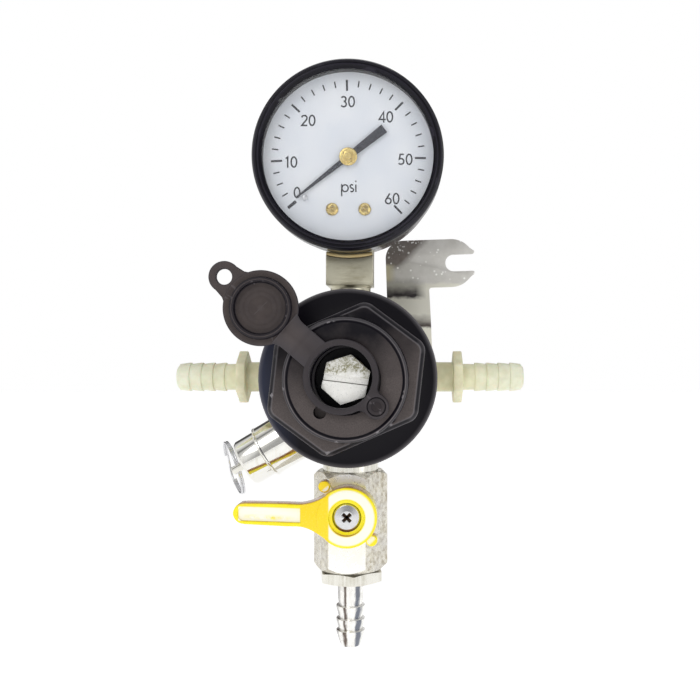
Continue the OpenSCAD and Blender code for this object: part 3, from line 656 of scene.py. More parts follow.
def lever_sheen(look, x, z):
    """Where the lever's raised flats take a painted white highlight: the rim of its hub, its grip and its
    lugs.
    """
    away = look.from_axis(LEVER.x, LEVER.z)
    rim = look.times(look.between(away, 5.45, 8.0, 0.25), look.spread(x, -5.4, -4.9))
    level = look.slanted(z, math.tan(math.radians(LEVER_TILT)), x)
    grip = look.times(look.between(x, -31.4, -13.6, 0.12), look.between(level, -2.0, 2.0, 0.15))
    streak = look.times(look.between(x, -29.0, -18.0, 3.0), look.between(level, -1.5, -0.5, 0.5))
    grip = look.maths("SUBTRACT", grip, look.times(streak, look.noise(2.0)))
    off_middle = look.spread(look.maths("ABSOLUTE", z, 0.0, False), 5.4, 6.0)
    lug = look.times(look.between(away, 9.0, 10.4, 0.3), off_middle)
    front = look.faces_front()
    return look.maths("MAXIMUM", look.times(front, look.maths("ADD", rim, grip)), look.times(lug, front))


def yellow_plastic():
    """Glossy yellow moulding: deeper on its neck, with painted shade in brown on its top and a painted white
    highlight on its flats.
    """
    look = Look("yellow_plastic", linear(255, 214, 0), 0.2, Coat_Weight=0.4, Coat_Roughness=0.08,
                Specular_IOR_Level=0.4)
    flow = look.noise(4.0, detail=4.0)
    x = look.maths("SUBTRACT", look.at("X"), LEVER.x, False)
    z = look.maths("SUBTRACT", look.at("Z"), LEVER.z, False)
    off_hub = look.spread(look.from_axis(LEVER.x, LEVER.z), 5.0, 6.0)
    neck = look.times(look.between(x, -13.4, -5.0, 0.3), off_hub)
    look.base = linear(255, 232, 0)
    look.paint(flow, linear(255, 242, 8))
    look.paint(neck, linear(255, 222, 0))
    # Painted shade: brown on the faces that look up
    top = look.mix(flow, linear(176, 118, 40), linear(200, 150, 84))
    look.paint(look.spread(look.faces("Z"), 0.5, 0.9), top)
    # Painted white highlight on the flats that look straight ahead
    look.paint(look.times(lever_sheen(look, x, z), 0.97), linear(255, 254, 240))
    look.roughness(look.noise(0.6), 0.16, 0.3)
    look.bump(look.noise(1.6, detail=3.0), 0.01)
    return look.material


def bracket_plating():
    """Satin nickel on sheet steel with pale flecks. Its colour by place is painted reflection: a dark
    shoulder, a pale corner, a paler strip below the ear and dark bands at the two bends.
    """
    look = Look("bracket_steel", linear(186, 185, 176), 0.5, metallic=0.4)
    x = look.at("X")
    cloud = look.noise(5.0, detail=6.0, roughness=0.6, low=0.3, high=0.7)
    z = look.slanted(look.at("Z"), 0.7, look.noise(3.0, detail=3.0))
    along = look.noise(0.8, detail=4.0, vector=look.stretched(0.25, 1, 1))
    shoulder = look.times(look.spread(look.slanted(x, -0.94, z), -17.0, -20.4), look.spread(z, 34.5, 37.0))
    corner = look.times(look.spread(x, 14.0, 11.5), look.between(z, 31.5, 37.0, 0.6))
    upper_bend_shade = look.times(look.spread(z, 33.0, 27.2), look.spread(z, 25.4, 26.6),
                            look.spread(x, 24.2, 20.6))
    lower_bend_shade = look.times(look.spread(z, 20.6, 16.9), look.spread(z, 15.6, 16.4))
    pits = look.times(look.cells(1.8, 0.24, 0.14), look.spread(z, 31.0, 33.0),
                      look.noise(5.0, low=0.38, high=0.46))
    flecks = look.times(look.cells(1.0, 0.3, 0.2), shoulder, look.noise(3.5, low=0.5, high=0.58))
    look.base = linear(196, 194, 188)
    look.paint(cloud, linear(216, 214, 210))
    # Painted reflections: a dark shoulder, a pale corner, a paler strip below the ear and dark bands at the
    # bends
    look.paint(look.times(shoulder, look.spread(cloud, 0, 1, 0.75, 1.0)), linear(112, 102, 97))
    look.paint(corner, linear(206, 200, 172))
    look.paint(look.spread(z, 31.2, 30.2), linear(226, 224, 212))
    look.paint(upper_bend_shade, look.mix(along, linear(44, 40, 42), linear(76, 72, 72)))
    look.paint(lower_bend_shade, look.mix(along, linear(60, 52, 50), linear(100, 92, 88)))
    look.paint(look.maths("ADD", look.times(pits, 0.8), flecks), linear(255, 255, 252))
    look.roughness(cloud, 0.42, 0.58)
    look.bump(look.maths("ADD", look.noise(0.5, detail=5.0), pits), 0.01)
    return look.material


def mottled_nickel():
    """Bright nickel on a slotted screw head: olive specks, mostly above the slot, and a bright slot floor
    with a painted shadow line along its lower edge.
    """
    look = Look("screw_nickel", linear(238, 236, 222), 0.3, metallic=0.2)
    across = look.slanted(look.at("Z"), -math.tan(math.radians(SLOT_TURN)), look.at("X"))
    specks = look.noise(0.55, detail=5.0, roughness=0.75, low=0.4, high=0.58)
    patches = look.noise(3.0, detail=2.0, low=0.3, high=0.5)
    above = look.spread(across, -0.6, 2.0, 0.12, 1.0)
    floor = look.spread(look.at("Y"), -24.4, -24.2)
    look.base = linear(255, 254, 250)
    look.paint(look.times(specks, patches, above, look.spread(floor, 0, 1, 1.0, 0.12)), linear(142, 138, 104))
    # Painted shadow: a dark line along the lower edge of the slot floor
    look.paint(look.times(floor, look.spread(across, -0.74, -0.84)), linear(72, 70, 60))
    look.roughness(specks, 0.24, 0.5)
    look.bump(look.times(specks, above), 0.006)
    return look.material


def block_nickel():
    """Nickel plate on the valve's block: blotchy sides, and a painted white highlight on the faces that look
    straight ahead.
    """
    look = Look("valve_nickel", linear(228, 226, 218), 0.24, metallic=0.5)
    blotch = look.noise(1.5, detail=6.0, roughness=0.7, low=0.42, high=0.62)
    look.base = linear(232, 228, 214)
    look.paint(blotch, linear(176, 166, 144))
    look.paint(look.times(look.noise(5.0, detail=4.0), 0.35), linear(206, 206, 210))
    # Painted white highlight on the faces that look straight ahead
    look.paint(look.faces_front(), linear(255, 255, 255))
    look.roughness(blotch, 0.26, 0.44)
    look.bump(blotch, 0.01)
    return look.material


def banded_nickel():
    """Polished nickel on the outlet tail, with painted reflections: the bands that a round bar shows along
    its length.
    """
    look = Look("tail_nickel", linear(228, 226, 218), 0.2, metallic=0.6)
    wave = look.noise(1.4, detail=3.0, vector=look.stretched(1, 1, 0.3))
    side = look.slanted(look.faces("X"), 0.12, wave)
    look.base = linear(238, 236, 232)
    look.paint(look.noise(2.0), linear(255, 254, 250))
    # Painted reflections: dark, brown and grey bands by which way the surface faces
    look.paint(look.between(side, 0.48, 0.82, 0.07), linear(116, 120, 130))
    look.paint(look.between(side, -0.42, -0.2, 0.06), linear(104, 92, 84))
    look.paint(look.spread(side, -0.66, -0.84), linear(168, 166, 164))
    look.roughness(wave, 0.16, 0.3)
    look.bump(wave, 0.004)
    return look.material


def make_materials():
    """One material for each slot of the record, and those of the new pieces."""
    looks = {
        "valve_nickel": block_nickel(),
        "tail_nickel": banded_nickel(),
        "screw_nickel": mottled_nickel(),
        "bracket_steel": bracket_plating(),
        "bonnet_plastic": bonnet_plastic(),
        "rubber": tether_rubber(),
        "gauge_black": gloss_black(),
        "lens": lens_clear(),
        "dial_white": dial_paint(),
        "ivory_plastic": ivory_plastic(),
        "yellow_plastic": yellow_plastic(),
        "spring_steel": mottled("spring_steel", (150, 150, 150), 0.3, (0.3, 3.0),
                                ((140, 140, 142), (172, 171, 170)), (0.22, 0.4), (0.3, 0.004), metallic=1.0),
        "seal_rubber": mottled("seal_rubber", (34, 33, 34), 0.6, (1.2, 5.0), ((28, 27, 28), (48, 47, 47)),
                               (0.5, 0.75), (0.2, 0.01)),
        "pointer_dark": mottled("pointer_dark", (30, 32, 46), 0.5, (0.8, 4.0), ((12, 14, 26), (30, 32, 48)),
                                (0.3, 0.5), (0.15, 0.004), Specular_IOR_Level=0.1),
        "white_plastic": mottled("white_plastic", (236, 236, 232), 0.45, (2.0, 4.0),
                                 ((226, 225, 220), (240, 240, 237)), (0.4, 0.55), (0.3, 0.006)),
        "dial_ink": mottled("dial_ink", (20, 20, 30), 0.55, (0.4, 4.0), ((12, 12, 22), (30, 30, 42)),
                            (0.45, 0.65), Specular_IOR_Level=0.2),
    }
    plating = (("chrome", (236, 235, 230), (206, 202, 190), 0.07, (1, 1, 0.15), 0.25),
               ("nickel", (228, 226, 218), (192, 188, 172), 0.14, (1, 1, 0.05), 0.5),
               ("steel", (214, 214, 216), (180, 180, 184), 0.16, (1, 1, 1), 0.25),
               ("socket_nickel", (198, 194, 174), (170, 164, 142), 0.3, (0.2, 0.2, 1), 0.6),
               # screw_recess is a dark brown for the painted shade at the bottom of the lever screw's cross
               # recess
               ("screw_recess", (60, 46, 38), (110, 92, 70), 0.5, (1, 1, 1), 0.25),
               ("pin_pale", (216, 218, 222), (190, 192, 198), 0.3, (1, 1, 1), 0.25))
    for name, colour, shade, roughness, grain, wear in plating:
        looks[name] = plated_metal(name, linear(*colour), linear(*shade), roughness, grain, wear)
    for name, colour, shade, roughness in (("brass", (252, 230, 148), (220, 186, 104), 0.24),
                                           ("pale_brass", (250, 238, 190), (236, 218, 160), 0.4),
                                           ("bronze", (206, 160, 96), (160, 116, 62), 0.24)):
        looks[name] = brass_metal(name, linear(*colour), linear(*shade), roughness)
    return looks


def dress_frame():
    """Every CAD node takes the material of its own slot."""
    for part in frame["record"]["subparts"]:
        piece = frame["nodes"][part["node"]]
        piece.data.materials.clear()
        piece.data.materials.append(LOOKS[part["material_slot"]])


def make_round(name, profile, look, replaces, matrix, body="regulator", ring=False, count=SIDES):
    """A turned piece, drawn as a profile about Z."""
    return new_piece(name, *revolve(profile, ring, count), look, matrix, replaces, body)


# ---- Bonnet ----

BONNET_TURN = 23.5
FLAT = 21.55
NARROW_FLAT = 18.45
RIM_R = 17.95
PEG_R = 11.5
PEG_ANGLE = -40
SPARE_PEG_ANGLE = -128


def at_polar(r, angle):
    return (r * math.cos(math.radians(angle)), r * math.sin(math.radians(angle)))


def make_bonnet():
    """The flange, the bevelled hexagon, the rim around the face and the open bore, in one skin."""
    def hex_loop(inset, height):
        flats = []
        for k in range(6):
            apart = NARROW_FLAT if k in (1, 4) else FLAT
            flats.append((BONNET_TURN + 30 + 60 * k, apart - inset))
        outline = rounded_polygon(flats, 4.0 - inset)
        return loop(lambda angle: max(outline(angle), RIM_R), height, FINE_SIDES)

    flange = rounded([(20.5, 9.2), (20.5, 11), (26.45, 11, 0.5), (26.45, 15, 0.6), (24.9, 15)], closed=False)
    boss = rounded([(RIM_R, 24.3), (17.65, 27.9, 0.5), (16.95, 28.25, 0.3), (16.15, 27.5, 0.5),
                    (15, 27.4, 0.6), (12.2, 27.15), (9.8, 26.9, 0.35), (9.8, 23, 0.2), (9, 22.8, 0.2),
                    (9, 18.1), (6.3, 18.1), (6.3, 14.9), (10.4, 14.9), (10.4, 21.3), (14.8, 21.3),
                    (14.8, 9.2)], closed=False)
    loops = [loop(r, h, FINE_SIDES) for r, h in flange]
    loops += [hex_loop(-0.45, 15.0), hex_loop(-0.12, 15.12), hex_loop(0, 15.45), hex_loop(0, 18)]
    for inset, height in ((0, 21.9), (0, 22.4), (0.05, 22.68), (0.16, 22.86), (0.4, 23.1), (0.8, 23.5),
                          (1.1, 23.8), (1.18, 23.9), (1.36, 23.97), (1.6, 24), (1.9, 24)):
        loops.append(hex_loop(inset, height))
    loops += [loop(r, h, FINE_SIDES) for r, h in boss]
    bonnet = new_piece("bonnet_shell", *loft(loops, ring=True), "bonnet_plastic", facing(), ("bonnet",))
    for angle in (PEG_ANGLE, SPARE_PEG_ANGLE):
        x, z = at_polar(PEG_R, angle)
        hole = revolve([(0, 24.4), (1.75, 24.4), (1.75, 26.9), (2.1, 27.7), (2.1, 30), (0, 30)], count=48)
        cut(bonnet, hole, facing(0, x, z))
    tidy_normals(bonnet)


# ---- Adjusting screw ----

def make_adjusting_screw():
    head = turned_hex(12.7, 21.4, 25, 0.35, turn=18)
    screw = new_piece("adjusting_screw_head", *head, "screw_nickel", facing(), ("adjusting_screw",),
                      "adjusting_screw")
    slot = box_at((-12, -1, 23.9), (12, 1, 26))
    cut(screw, slot, facing() @ spin(SLOT_TURN))
    bevel(screw, 0.12, segments=2)
    shank = revolve([(0, 14.7), (3.9, 14.7, 0.4), (3.9, 21.5), (0, 21.5)])
    new_piece("adjusting_screw_shank", *shank, "steel", facing(), body="adjusting_screw")


# ---- Tether, peg and dust cap ----

TETHER_X = -1.1
TETHER_Z = 0.9
STRAP_ANGLE = 139.3
STRAP_HALF = 4.5
CAP_DISTANCE = 29.4
TAB_DISTANCE = 42.8


def on_tether(distance=0.0):
    """The tether ring's own frame: X runs along the strap towards the cap, and Z is the height in front."""
    return facing(0, TETHER_X, TETHER_Z) @ spin(STRAP_ANGLE) @ shift(distance)


def ring_outline(inset=0.0):
    """The outer edge of the tether's ring, with its ear around the peg."""
    peg_x, peg_z = at_polar(PEG_R, PEG_ANGLE)
    away = math.hypot(peg_x - TETHER_X, peg_z - TETHER_Z)
    towards = math.atan2(peg_z - TETHER_Z, peg_x - TETHER_X) - math.radians(STRAP_ANGLE)
    ear_r = 3.5
    edge = math.asin(ear_r / away)
    skirt = math.radians(11)

    def radius(angle):
        off = abs((angle - towards + math.pi) % (2 * math.pi) - math.pi)
        ring = 10.6
        if off < edge:
            ear = away * math.cos(off) + math.sqrt(ear_r**2 - (away * math.sin(off)) ** 2)
        else:
            share = min(1.0, (off - edge) / skirt)
            ear = ring + (away * math.cos(edge) - ring) * (1 - share) ** 3
        return max(ring, ear) - inset

    return radius


def make_tether_ring():
    loops = [loop(8.8, 27.45, FINE_SIDES)]
    for inset, height in ((0, 27.45), (0, 29.3), (0.06, 29.52), (0.2, 29.68), (0.42, 29.75)):
        loops.append(loop(ring_outline(inset), height, FINE_SIDES))
    loops += [loop(r, h, FINE_SIDES) for r, h in ((9.22, 29.75), (9.0, 29.7), (8.86, 29.56), (8.8, 29.35))]
    ring = new_piece("tether_ring_moulding", *loft(loops, ring=True), "rubber", on_tether(),
                     ("tether_ring",))
    x, z = at_polar(PEG_R, PEG_ANGLE)
    seat = revolve([(0, 20), (1.78, 20), (1.78, 28.85), (2.6, 28.85), (2.6, 29.5), (2.85, 29.8),
                    (2.85, 32), (0, 32)], count=64)
    cut(ring, seat, facing(0, x, z))
    tidy_normals(ring)
    peg = [(0, 24.6), (1.7, 24.6, 0.3), (1.7, 28.9), (2.45, 28.9), (2.45, 29.62, 0.25), (1.5, 29.7, 0.2),
           (1.2, 29.6, 0.2), (0, 29.6)]
    make_round("peg_head", peg, "rubber", ("tether_peg",), facing(0, x, z), count=64)


def make_strap():
    """The flat strap from the ring to the cap, thin at its fold. Its back is clear of the bonnet's rim."""
    fold = CAP_DISTANCE / 2
    stations = [9.2 + 11.5 * i / 60 for i in range(61)]
    loops = []
    for x in stations:
        near = math.exp(-((x - fold) / 0.8) ** 2)
        back = 28.3 + 0.75 * near
        front = 29.68 - 0.12 * near
        flare = 0.9 * max(0.0, (x - 17.5) / 3) ** 2
        half = STRAP_HALF + flare
        soft = 0.25
        section = [(-half, back + soft), (-half + soft, back), (half - soft, back), (half, back + soft),
                   (half, front - soft), (half - soft, front), (0, front + 0.04), (-half + soft, front),
                   (-half, front - soft)]
        loops.append([(x, y, h) for y, h in section])
    strap = new_piece("tether_strap", *loft(loops), "rubber", on_tether(), body=None, smooth=50)
    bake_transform(strap)


def make_cap():
    """The dust cap: a round plate with a bead, faint rings on its middle, and a tab with a hole."""
    profile = [(0, 27.75), (10.35, 27.75, 0.5), (10.6, 28.6, 0.3), (10.6, 29.5, 0.35), (8.75, 29.5, 0.15),
               (8.5, 30.95, 0.3), (7.95, 31.2, 0.3), (7.35, 30.9, 0.3), (7.2, 29.5, 0.3)]
    for r in (6.2, 4.7, 3.2):
        profile += [(r + 0.35, 29.42), (r + 0.1, 29.38), (r - 0.1, 29.38), (r - 0.35, 29.42)]
    profile += [(1.2, 29.42), (0.9, 29.5), (0, 29.52)]
    make_round("cap_disc", profile, "rubber", ("tether_cap",), on_tether(CAP_DISTANCE), "tether_cap",
               count=256)
    end_r = 4.4
    outline = [(CAP_DISTANCE + 8.6, 6.2), (CAP_DISTANCE + 9.2, 5.3), (CAP_DISTANCE + 10.2, 4.75)]
    outline += arc(TAB_DISTANCE, 0, end_r, 97, -97, 48)
    outline += [(CAP_DISTANCE + 10.2, -4.75), (CAP_DISTANCE + 9.2, -5.3), (CAP_DISTANCE + 8.6, -6.2)]
    tab = new_piece("cap_tab", *prism(outline, 27.85, 29.4), "rubber", on_tether(), body="tether_cap")
    cut(tab, rod(2.2, 20, 35), on_tether(TAB_DISTANCE))
    bevel(tab, 0.3, segments=3)


# ---- Pressure gauge ----

INK_BACK = 11.58
INK_FRONT = 11.64
NUMERAL_H = 3.4
NUMERAL_STROKE = 0.46
UNIT_H = 3.7
UNIT_STROKE = 0.42
POINTER_REST = 218.2


def at_gauge():
    return facing(0, GAUGE.x, GAUGE.z)


def make_gauge_case():
    case = [(0, -9), (26.0, -9, 1.8), (27.3, -6.6, 1.2), (27.3, 13.7), (26.35, 13.7), (26.3, -6.2, 0.8),
            (25.2, -8, 0.8), (0, -8)]
    shell = make_round("gauge_case_shell", case, "gauge_black", ("gauge_case",), at_gauge(), count=256)
    opening = box_at((-7.2, -32, -7.2), (7.2, -24, 7.35))
    cut(shell, opening, at_gauge())
    cut(shell, rod(3, -12, -7), at_gauge() @ shift(0, 15))
    tidy_normals(shell)
    bezel = [(27.42, 8, 0.25), (28.3, 8, 0.5), (28.3, 15.2, 0.9), (27.5, 16.75, 0.5), (26.9, 16.35, 0.25),
             (26.4, 16.9, 0.35), (25.7, 16.2, 0.4), (25.2, 15.7, 0.1), (25.2, 15.62), (27.42, 15.62)]
    ring = make_round("bezel_ring", bezel, "gauge_black", ("gauge_bezel",), at_gauge(), ring=True, count=256)
    x, z = at_polar(25.2, 141)
    notch = box_at((-0.5, -0.7, 14), (0.5, 0.7, 18))
    cut(ring, notch, at_gauge() @ shift(x, z) @ spin(141))
    tidy_normals(ring)


def tick(angle, inner, outer, width):
    """A printed mark that points away from the dial's centre."""
    half = width / 2
    bar = box_at((inner, -half, INK_BACK), (outer, half, INK_FRONT))
    return moved(bar, spin(angle))


def ellipse(cx, cy, rx, ry, steps=28):
    return [(cx + rx * math.cos(2 * math.pi * k / steps), cy + ry * math.sin(2 * math.pi * k / steps))
            for k in range(steps)]


# Strokes of each character on a grid whose unit is the height of a numeral: (closed, points)
GLYPHS = {
    "0": [(True, ellipse(0.3, 0.5, 0.24, 0.44))],
    "1": [(False, [(0.14, 0.8), (0.32, 0.94), (0.32, 0.0)])],
    "2": [(False, arc(0.3, 0.7, 0.235, 165, -38) + [(0.08, 0.06), (0.56, 0.06)])],
    "3": [(False, arc(0.28, 0.725, 0.21, 150, -85)), (False, arc(0.28, 0.28, 0.235, 88, -150))],
    "4": [(False, [(0.45, 0.0), (0.45, 0.93), (0.05, 0.27), (0.62, 0.27)])],
    "5": [(False, [(0.52, 0.94), (0.2, 0.94), (0.13, 0.54)] + arc(0.27, 0.32, 0.25, 125, -145))],
    "6": [(False, [(0.43, 0.95), (0.12, 0.45)]), (True, ellipse(0.3, 0.29, 0.24, 0.24))],
    "p": [(False, [(0.07, 0.64), (0.07, -0.34)]), (True, ellipse(0.34, 0.31, 0.25, 0.27))],
    "s": [(False, arc(0.2, 0.46, 0.13, 40, 270, 10) + arc(0.2, 0.17, 0.14, 90, -140, 10))],
    "i": [(False, [(0.06, 0.0), (0.06, 0.6)]), (False, [(0.06, 0.8), (0.06, 0.92)])],
}
ADVANCE = {"1": 0.56, "p": 0.68, "s": 0.47, "i": 0.12}
USUAL_ADVANCE = 0.68


def ribbon(points, width, closed):
    """A stroke of even width along points, as a thin solid."""
    count = len(points)
    sides = ([], [])
    for i in range(count):
        here = Vector(points[i])
        before = Vector(points[i - 1]) if closed or i > 0 else None
        after = Vector(points[(i + 1) % count]) if closed or i < count - 1 else None
        into = (here - before).normalized() if before is not None else (after - here).normalized()
        out = (after - here).normalized() if after is not None else into
        along = (into + out).normalized()
        across = Vector((-along.y, along.x)) * (width / 2 / max(0.4, along.dot(into)))
        sides[0].append(tuple(here + across))
        sides[1].append(tuple(here - across))
    if not closed:
        return prism(sides[0] + sides[1][::-1], INK_BACK, INK_FRONT)
    loops = [[(x, y, h) for x, y in side] for side, h in
             ((sides[0], INK_BACK), (sides[1], INK_BACK), (sides[1], INK_FRONT), (sides[0], INK_FRONT))]
    return loft(loops, ring=True)


def lettering(word, x, y, height, width):
    """Upright characters centred on a place of the dial."""
    total = sum(ADVANCE.get(c, USUAL_ADVANCE) for c in word) * height - 0.1 * height
    left = x - total / 2
    parts = []
    for character in word:
        for closed, points in GLYPHS[character]:
            scaled = [(left + px * height, y - height / 2 + py * height) for px, py in points]
            parts.append(ribbon(scaled, width, closed))
        left += ADVANCE.get(character, USUAL_ADVANCE) * height
    return joined(*parts)


def dial_angle(psi):
    return 91.2 - (psi - 30) * 4.59


def make_dial_print():
    """Marks every 2 psi, numerals every 10 and the unit."""
    parts = [tick(220, 20.4, 23.5, 0.95)]
    for psi in range(4, 61, 2):
        if psi % 10:
            parts.append(tick(dial_angle(psi), 21.0, 22.9, 0.4))
        else:
            parts.append(tick(dial_angle(psi), 19.8, 23.1, 0.62))
    for number, r, angle in (("0", 18.6, 214.4), ("10", 17.3, 184.7), ("20", 16.3, 137.6), ("30", 16.6, 90.9),
                             ("40", 16.4, 47.3), ("50", 16.9, -2.1), ("60", 17.9, -43.4)):
        x, y = at_polar(r, angle)
        parts.append(lettering(number, x, y, NUMERAL_H, NUMERAL_STROKE))
    parts.append(lettering("psi", -0.1, -8.5, UNIT_H, UNIT_STROKE))
    new_piece("dial_print", *joined(*parts), "dial_ink", at_gauge())


def make_pointer():
    outline = [(-13.6, -1.4), (-1.9, -1.02)] + arc(0, 0, 2.2, 208, 338, 10)
    outline += [(19.4, -0.24), (19.7, 0), (19.4, 0.24)] + arc(0, 0, 2.2, 22, 152, 10)
    outline += [(-1.9, 1.02), (-13.6, 1.4)]
    needle = new_piece("pointer_needle", *prism(outline, 12.3, 12.6), "pointer_dark",
                       at_gauge() @ spin(POINTER_REST), ("pointer",), "pointer")
    bevel(needle, 0.06, segments=2)
    hub = [(0, 11.9), (0.9, 11.9), (0.9, 12.62), (2.7, 12.62), (2.7, 12.95, 0.15), (2.2, 13.1, 0.1),
           (2.05, 12.98, 0.05), (1.6, 13.0, 0.05), (1.45, 13.3, 0.1), (0.85, 13.36, 0.1),
           (0.7, 13.22, 0.05), (0.6, 13.21), (0, 13.21)]
    make_round("pointer_boss", hub, "brass", ("pointer_hub",), at_gauge(), "pointer", count=96)


def make_dial_hardware():
    low, high = mm_box("dial_screws")
    reach = (high.x - low.x) / 2 - 1.88
    drop = GAUGE.z - (low.z + high.z) / 2
    for side in (-1, 1):
        profile = [(0, 9), (1.1, 9), (1.1, 11.62), (1.88, 11.62), (1.86, 12.05, 0.2), (1.2, 12.45, 0.3),
                   (0, 12.52)]
        where = at_gauge() @ shift(side * reach, -drop)
        screw = make_round("dial_screw", profile, "brass", ("dial_screws",), where, count=64)
        slot = box_at((-3, -0.22, 12.1), (3, 0.22, 13))
        cut(screw, slot, where @ spin(-20 - 25 * side))
        tidy_normals(screw)
    x, z = at_polar(17.7, 223.5)
    pin = [(0, 11), (0.5, 11), (0.5, 11.62), (0.8, 11.62), (0.8, 12.95, 0.25), (0, 13)]
    make_round("stop_pin", pin, "pin_pale", ("zero_stop_pin",), at_gauge() @ shift(x, z), count=48)


def make_socket():
    """The gauge's square socket, with a turned step under the case."""
    block = box_at((-7.1, -7.1, 28.05), (7.1, 7.1, 38.2))
    piece = new_piece("socket_block", *block, "socket_nickel", None, ("gauge_socket",))
    cut(piece, rod(29.6, 6.7, 9, 256), at_gauge())
    bevel(piece, 0.4, segments=3)
    stem = [(1.5, 16.1), (6.3, 16.1), (6.55, 16.4), (6.55, 23.7, 0.3), (6.2, 24), (6.2, 27.4, 0.4),
            (6.9, 28.15), (1.5, 28.15)]
    make_round("socket_stem", stem, "socket_nickel", (), None, ring=True)
    post = box_at((-7.15, -3, 37.2), (7.15, 6.9, 53))
    upper = new_piece("socket_post", *post, "socket_nickel")
    bevel(upper, 0.2, segments=2)
    half = math.degrees(math.asin(6.9 / 28.9))
    outline = arc(0, 0, 28.35, 270 - half, 270 + half, 24) + arc(0, 0, 29.45, 270 + half, 270 - half, 24)
    strip = new_piece("socket_step", *prism(outline, 6.6, 7.0), "pale_brass", at_gauge())
    bevel(strip, 0.1, segments=2)


# ---- Side hose tails ----

CRESTS = (39.1, 42.7, 46.3, 50.0)


def make_side_barb(name, node, angle):
    """A moulded tail: threaded end, neck, rounded hexagonal collar, four crests and an open bore."""
    loops = [loop(2.4, 16.1)]
    stem = [(2.4, 16.1), (6.3, 16.1), (6.55, 16.4), (6.55, 24.2), (4.6, 24.9, 0.4), (4.55, 31.7, 0.2),
            (5.2, 31.7)]
    loops += [loop(r, h) for r, h in rounded(stem, closed=False)]
    for inset, height in ((0.45, 31.7), (0.12, 31.8), (0, 32.1), (0, 34.1), (0.12, 34.4), (0.45, 34.5)):
        loops.append(loop(hexagon(14.3 - 2 * inset, 1.7 - inset, 0), height))
    tail = [(5.2, 34.5), (4.05, 34.5, 0.35), (4.0, 38.5, 0.1)]
    for crest in CRESTS:
        tail += [(4.42, crest - 0.62, 0.1), (4.42, crest, 0.25), (4.05, min(crest + 2.95, 52.7))]
    tail += [(3.75, 52.9, 0.5), (3.0, 53.5, 0.4), (2.4, 53.45, 0.15)]
    loops += [loop(r, h) for r, h in rounded(tail, closed=False)]
    new_piece(name, *loft(loops, ring=True), "ivory_plastic", port(angle), (node,))


# ---- Relief valve ----

RELIEF_HOLE = 40.8
RING_TURN = 13
RING_TILT = 20


def on_relief():
    return port(211, (0, 0, -7.4))


def make_relief_valve():
    body = [(5.6, 21.4), (5.6, 30.85, 0.1), (7.7, 30.85, 0.1), (8.05, 30.95, 0.1), (8.35, 30.7, 0.12),
            (8.3, 30.35, 0.12), (8.1, 30.1, 0.1), (8.1, 19.2, 0.2), (5.0, 19.2), (5.0, 12.6, 0.3),
            (1.5, 12.6), (1.5, 21.4)]
    make_round("relief_body_shell", body, "chrome", ("relief_body",), on_relief(), ring=True)
    cap = [(4.4, 27), (5.58, 27), (5.58, 30.92), (7.1, 30.92, 0.1), (7.4, 31.2, 0.15), (7.4, 37.3, 0.3),
           (7.0, 38, 0.3), (1.6, 38, 0.15), (1.35, 37.8), (1.35, 36.4), (4.4, 36.4)]
    make_round("relief_cap_shell", cap, "chrome", ("relief_cap",), on_relief(), ring=True)
    stem = [(0, 22.45), (4.4, 22.45), (4.4, 23.4), (2.2, 23.4), (2.2, 24.2), (1.3, 24.2), (1.3, 42.7, 0.35),
            (0, 42.7)]
    post = make_round("relief_post", stem, "nickel", ("relief_stem",), on_relief(), "relief_stem", count=64)
    across = shift(z=RELIEF_HOLE) @ spin(90, "Y")
    cut(post, rod(0.8, -3, 3, 32), on_relief() @ across)
    tidy_normals(post)


def make_pull_ring():
    """A split ring: almost two turns of wire, which cross over on the side away from the post."""
    mean_r = 8.55
    offset = 0.37
    tilt = shift(z=RELIEF_HOLE) @ spin(RING_TURN, "Y") @ spin(RING_TILT, "X")
    path = []
    steps = 180
    for i in range(steps + 1):
        turns = 0.08 + 1.84 * i / steps
        ramp = min(1.0, max(0.0, (turns - 0.92) / 0.16))
        height = offset * (2 * ramp * ramp * (3 - 2 * ramp) - 1)
        angle = math.radians(90) + 2 * math.pi * turns
        path.append((mean_r * math.cos(angle), mean_r + mean_r * math.sin(angle), height))
    wire = sweep_tube(path, 0.35, sides=12)
    new_piece("split_ring", *wire, "steel", on_relief() @ tilt, ("pull_ring",), "pull_ring", smooth=50)


# ---- Shut-off valve ----

def below():
    return port(-90)


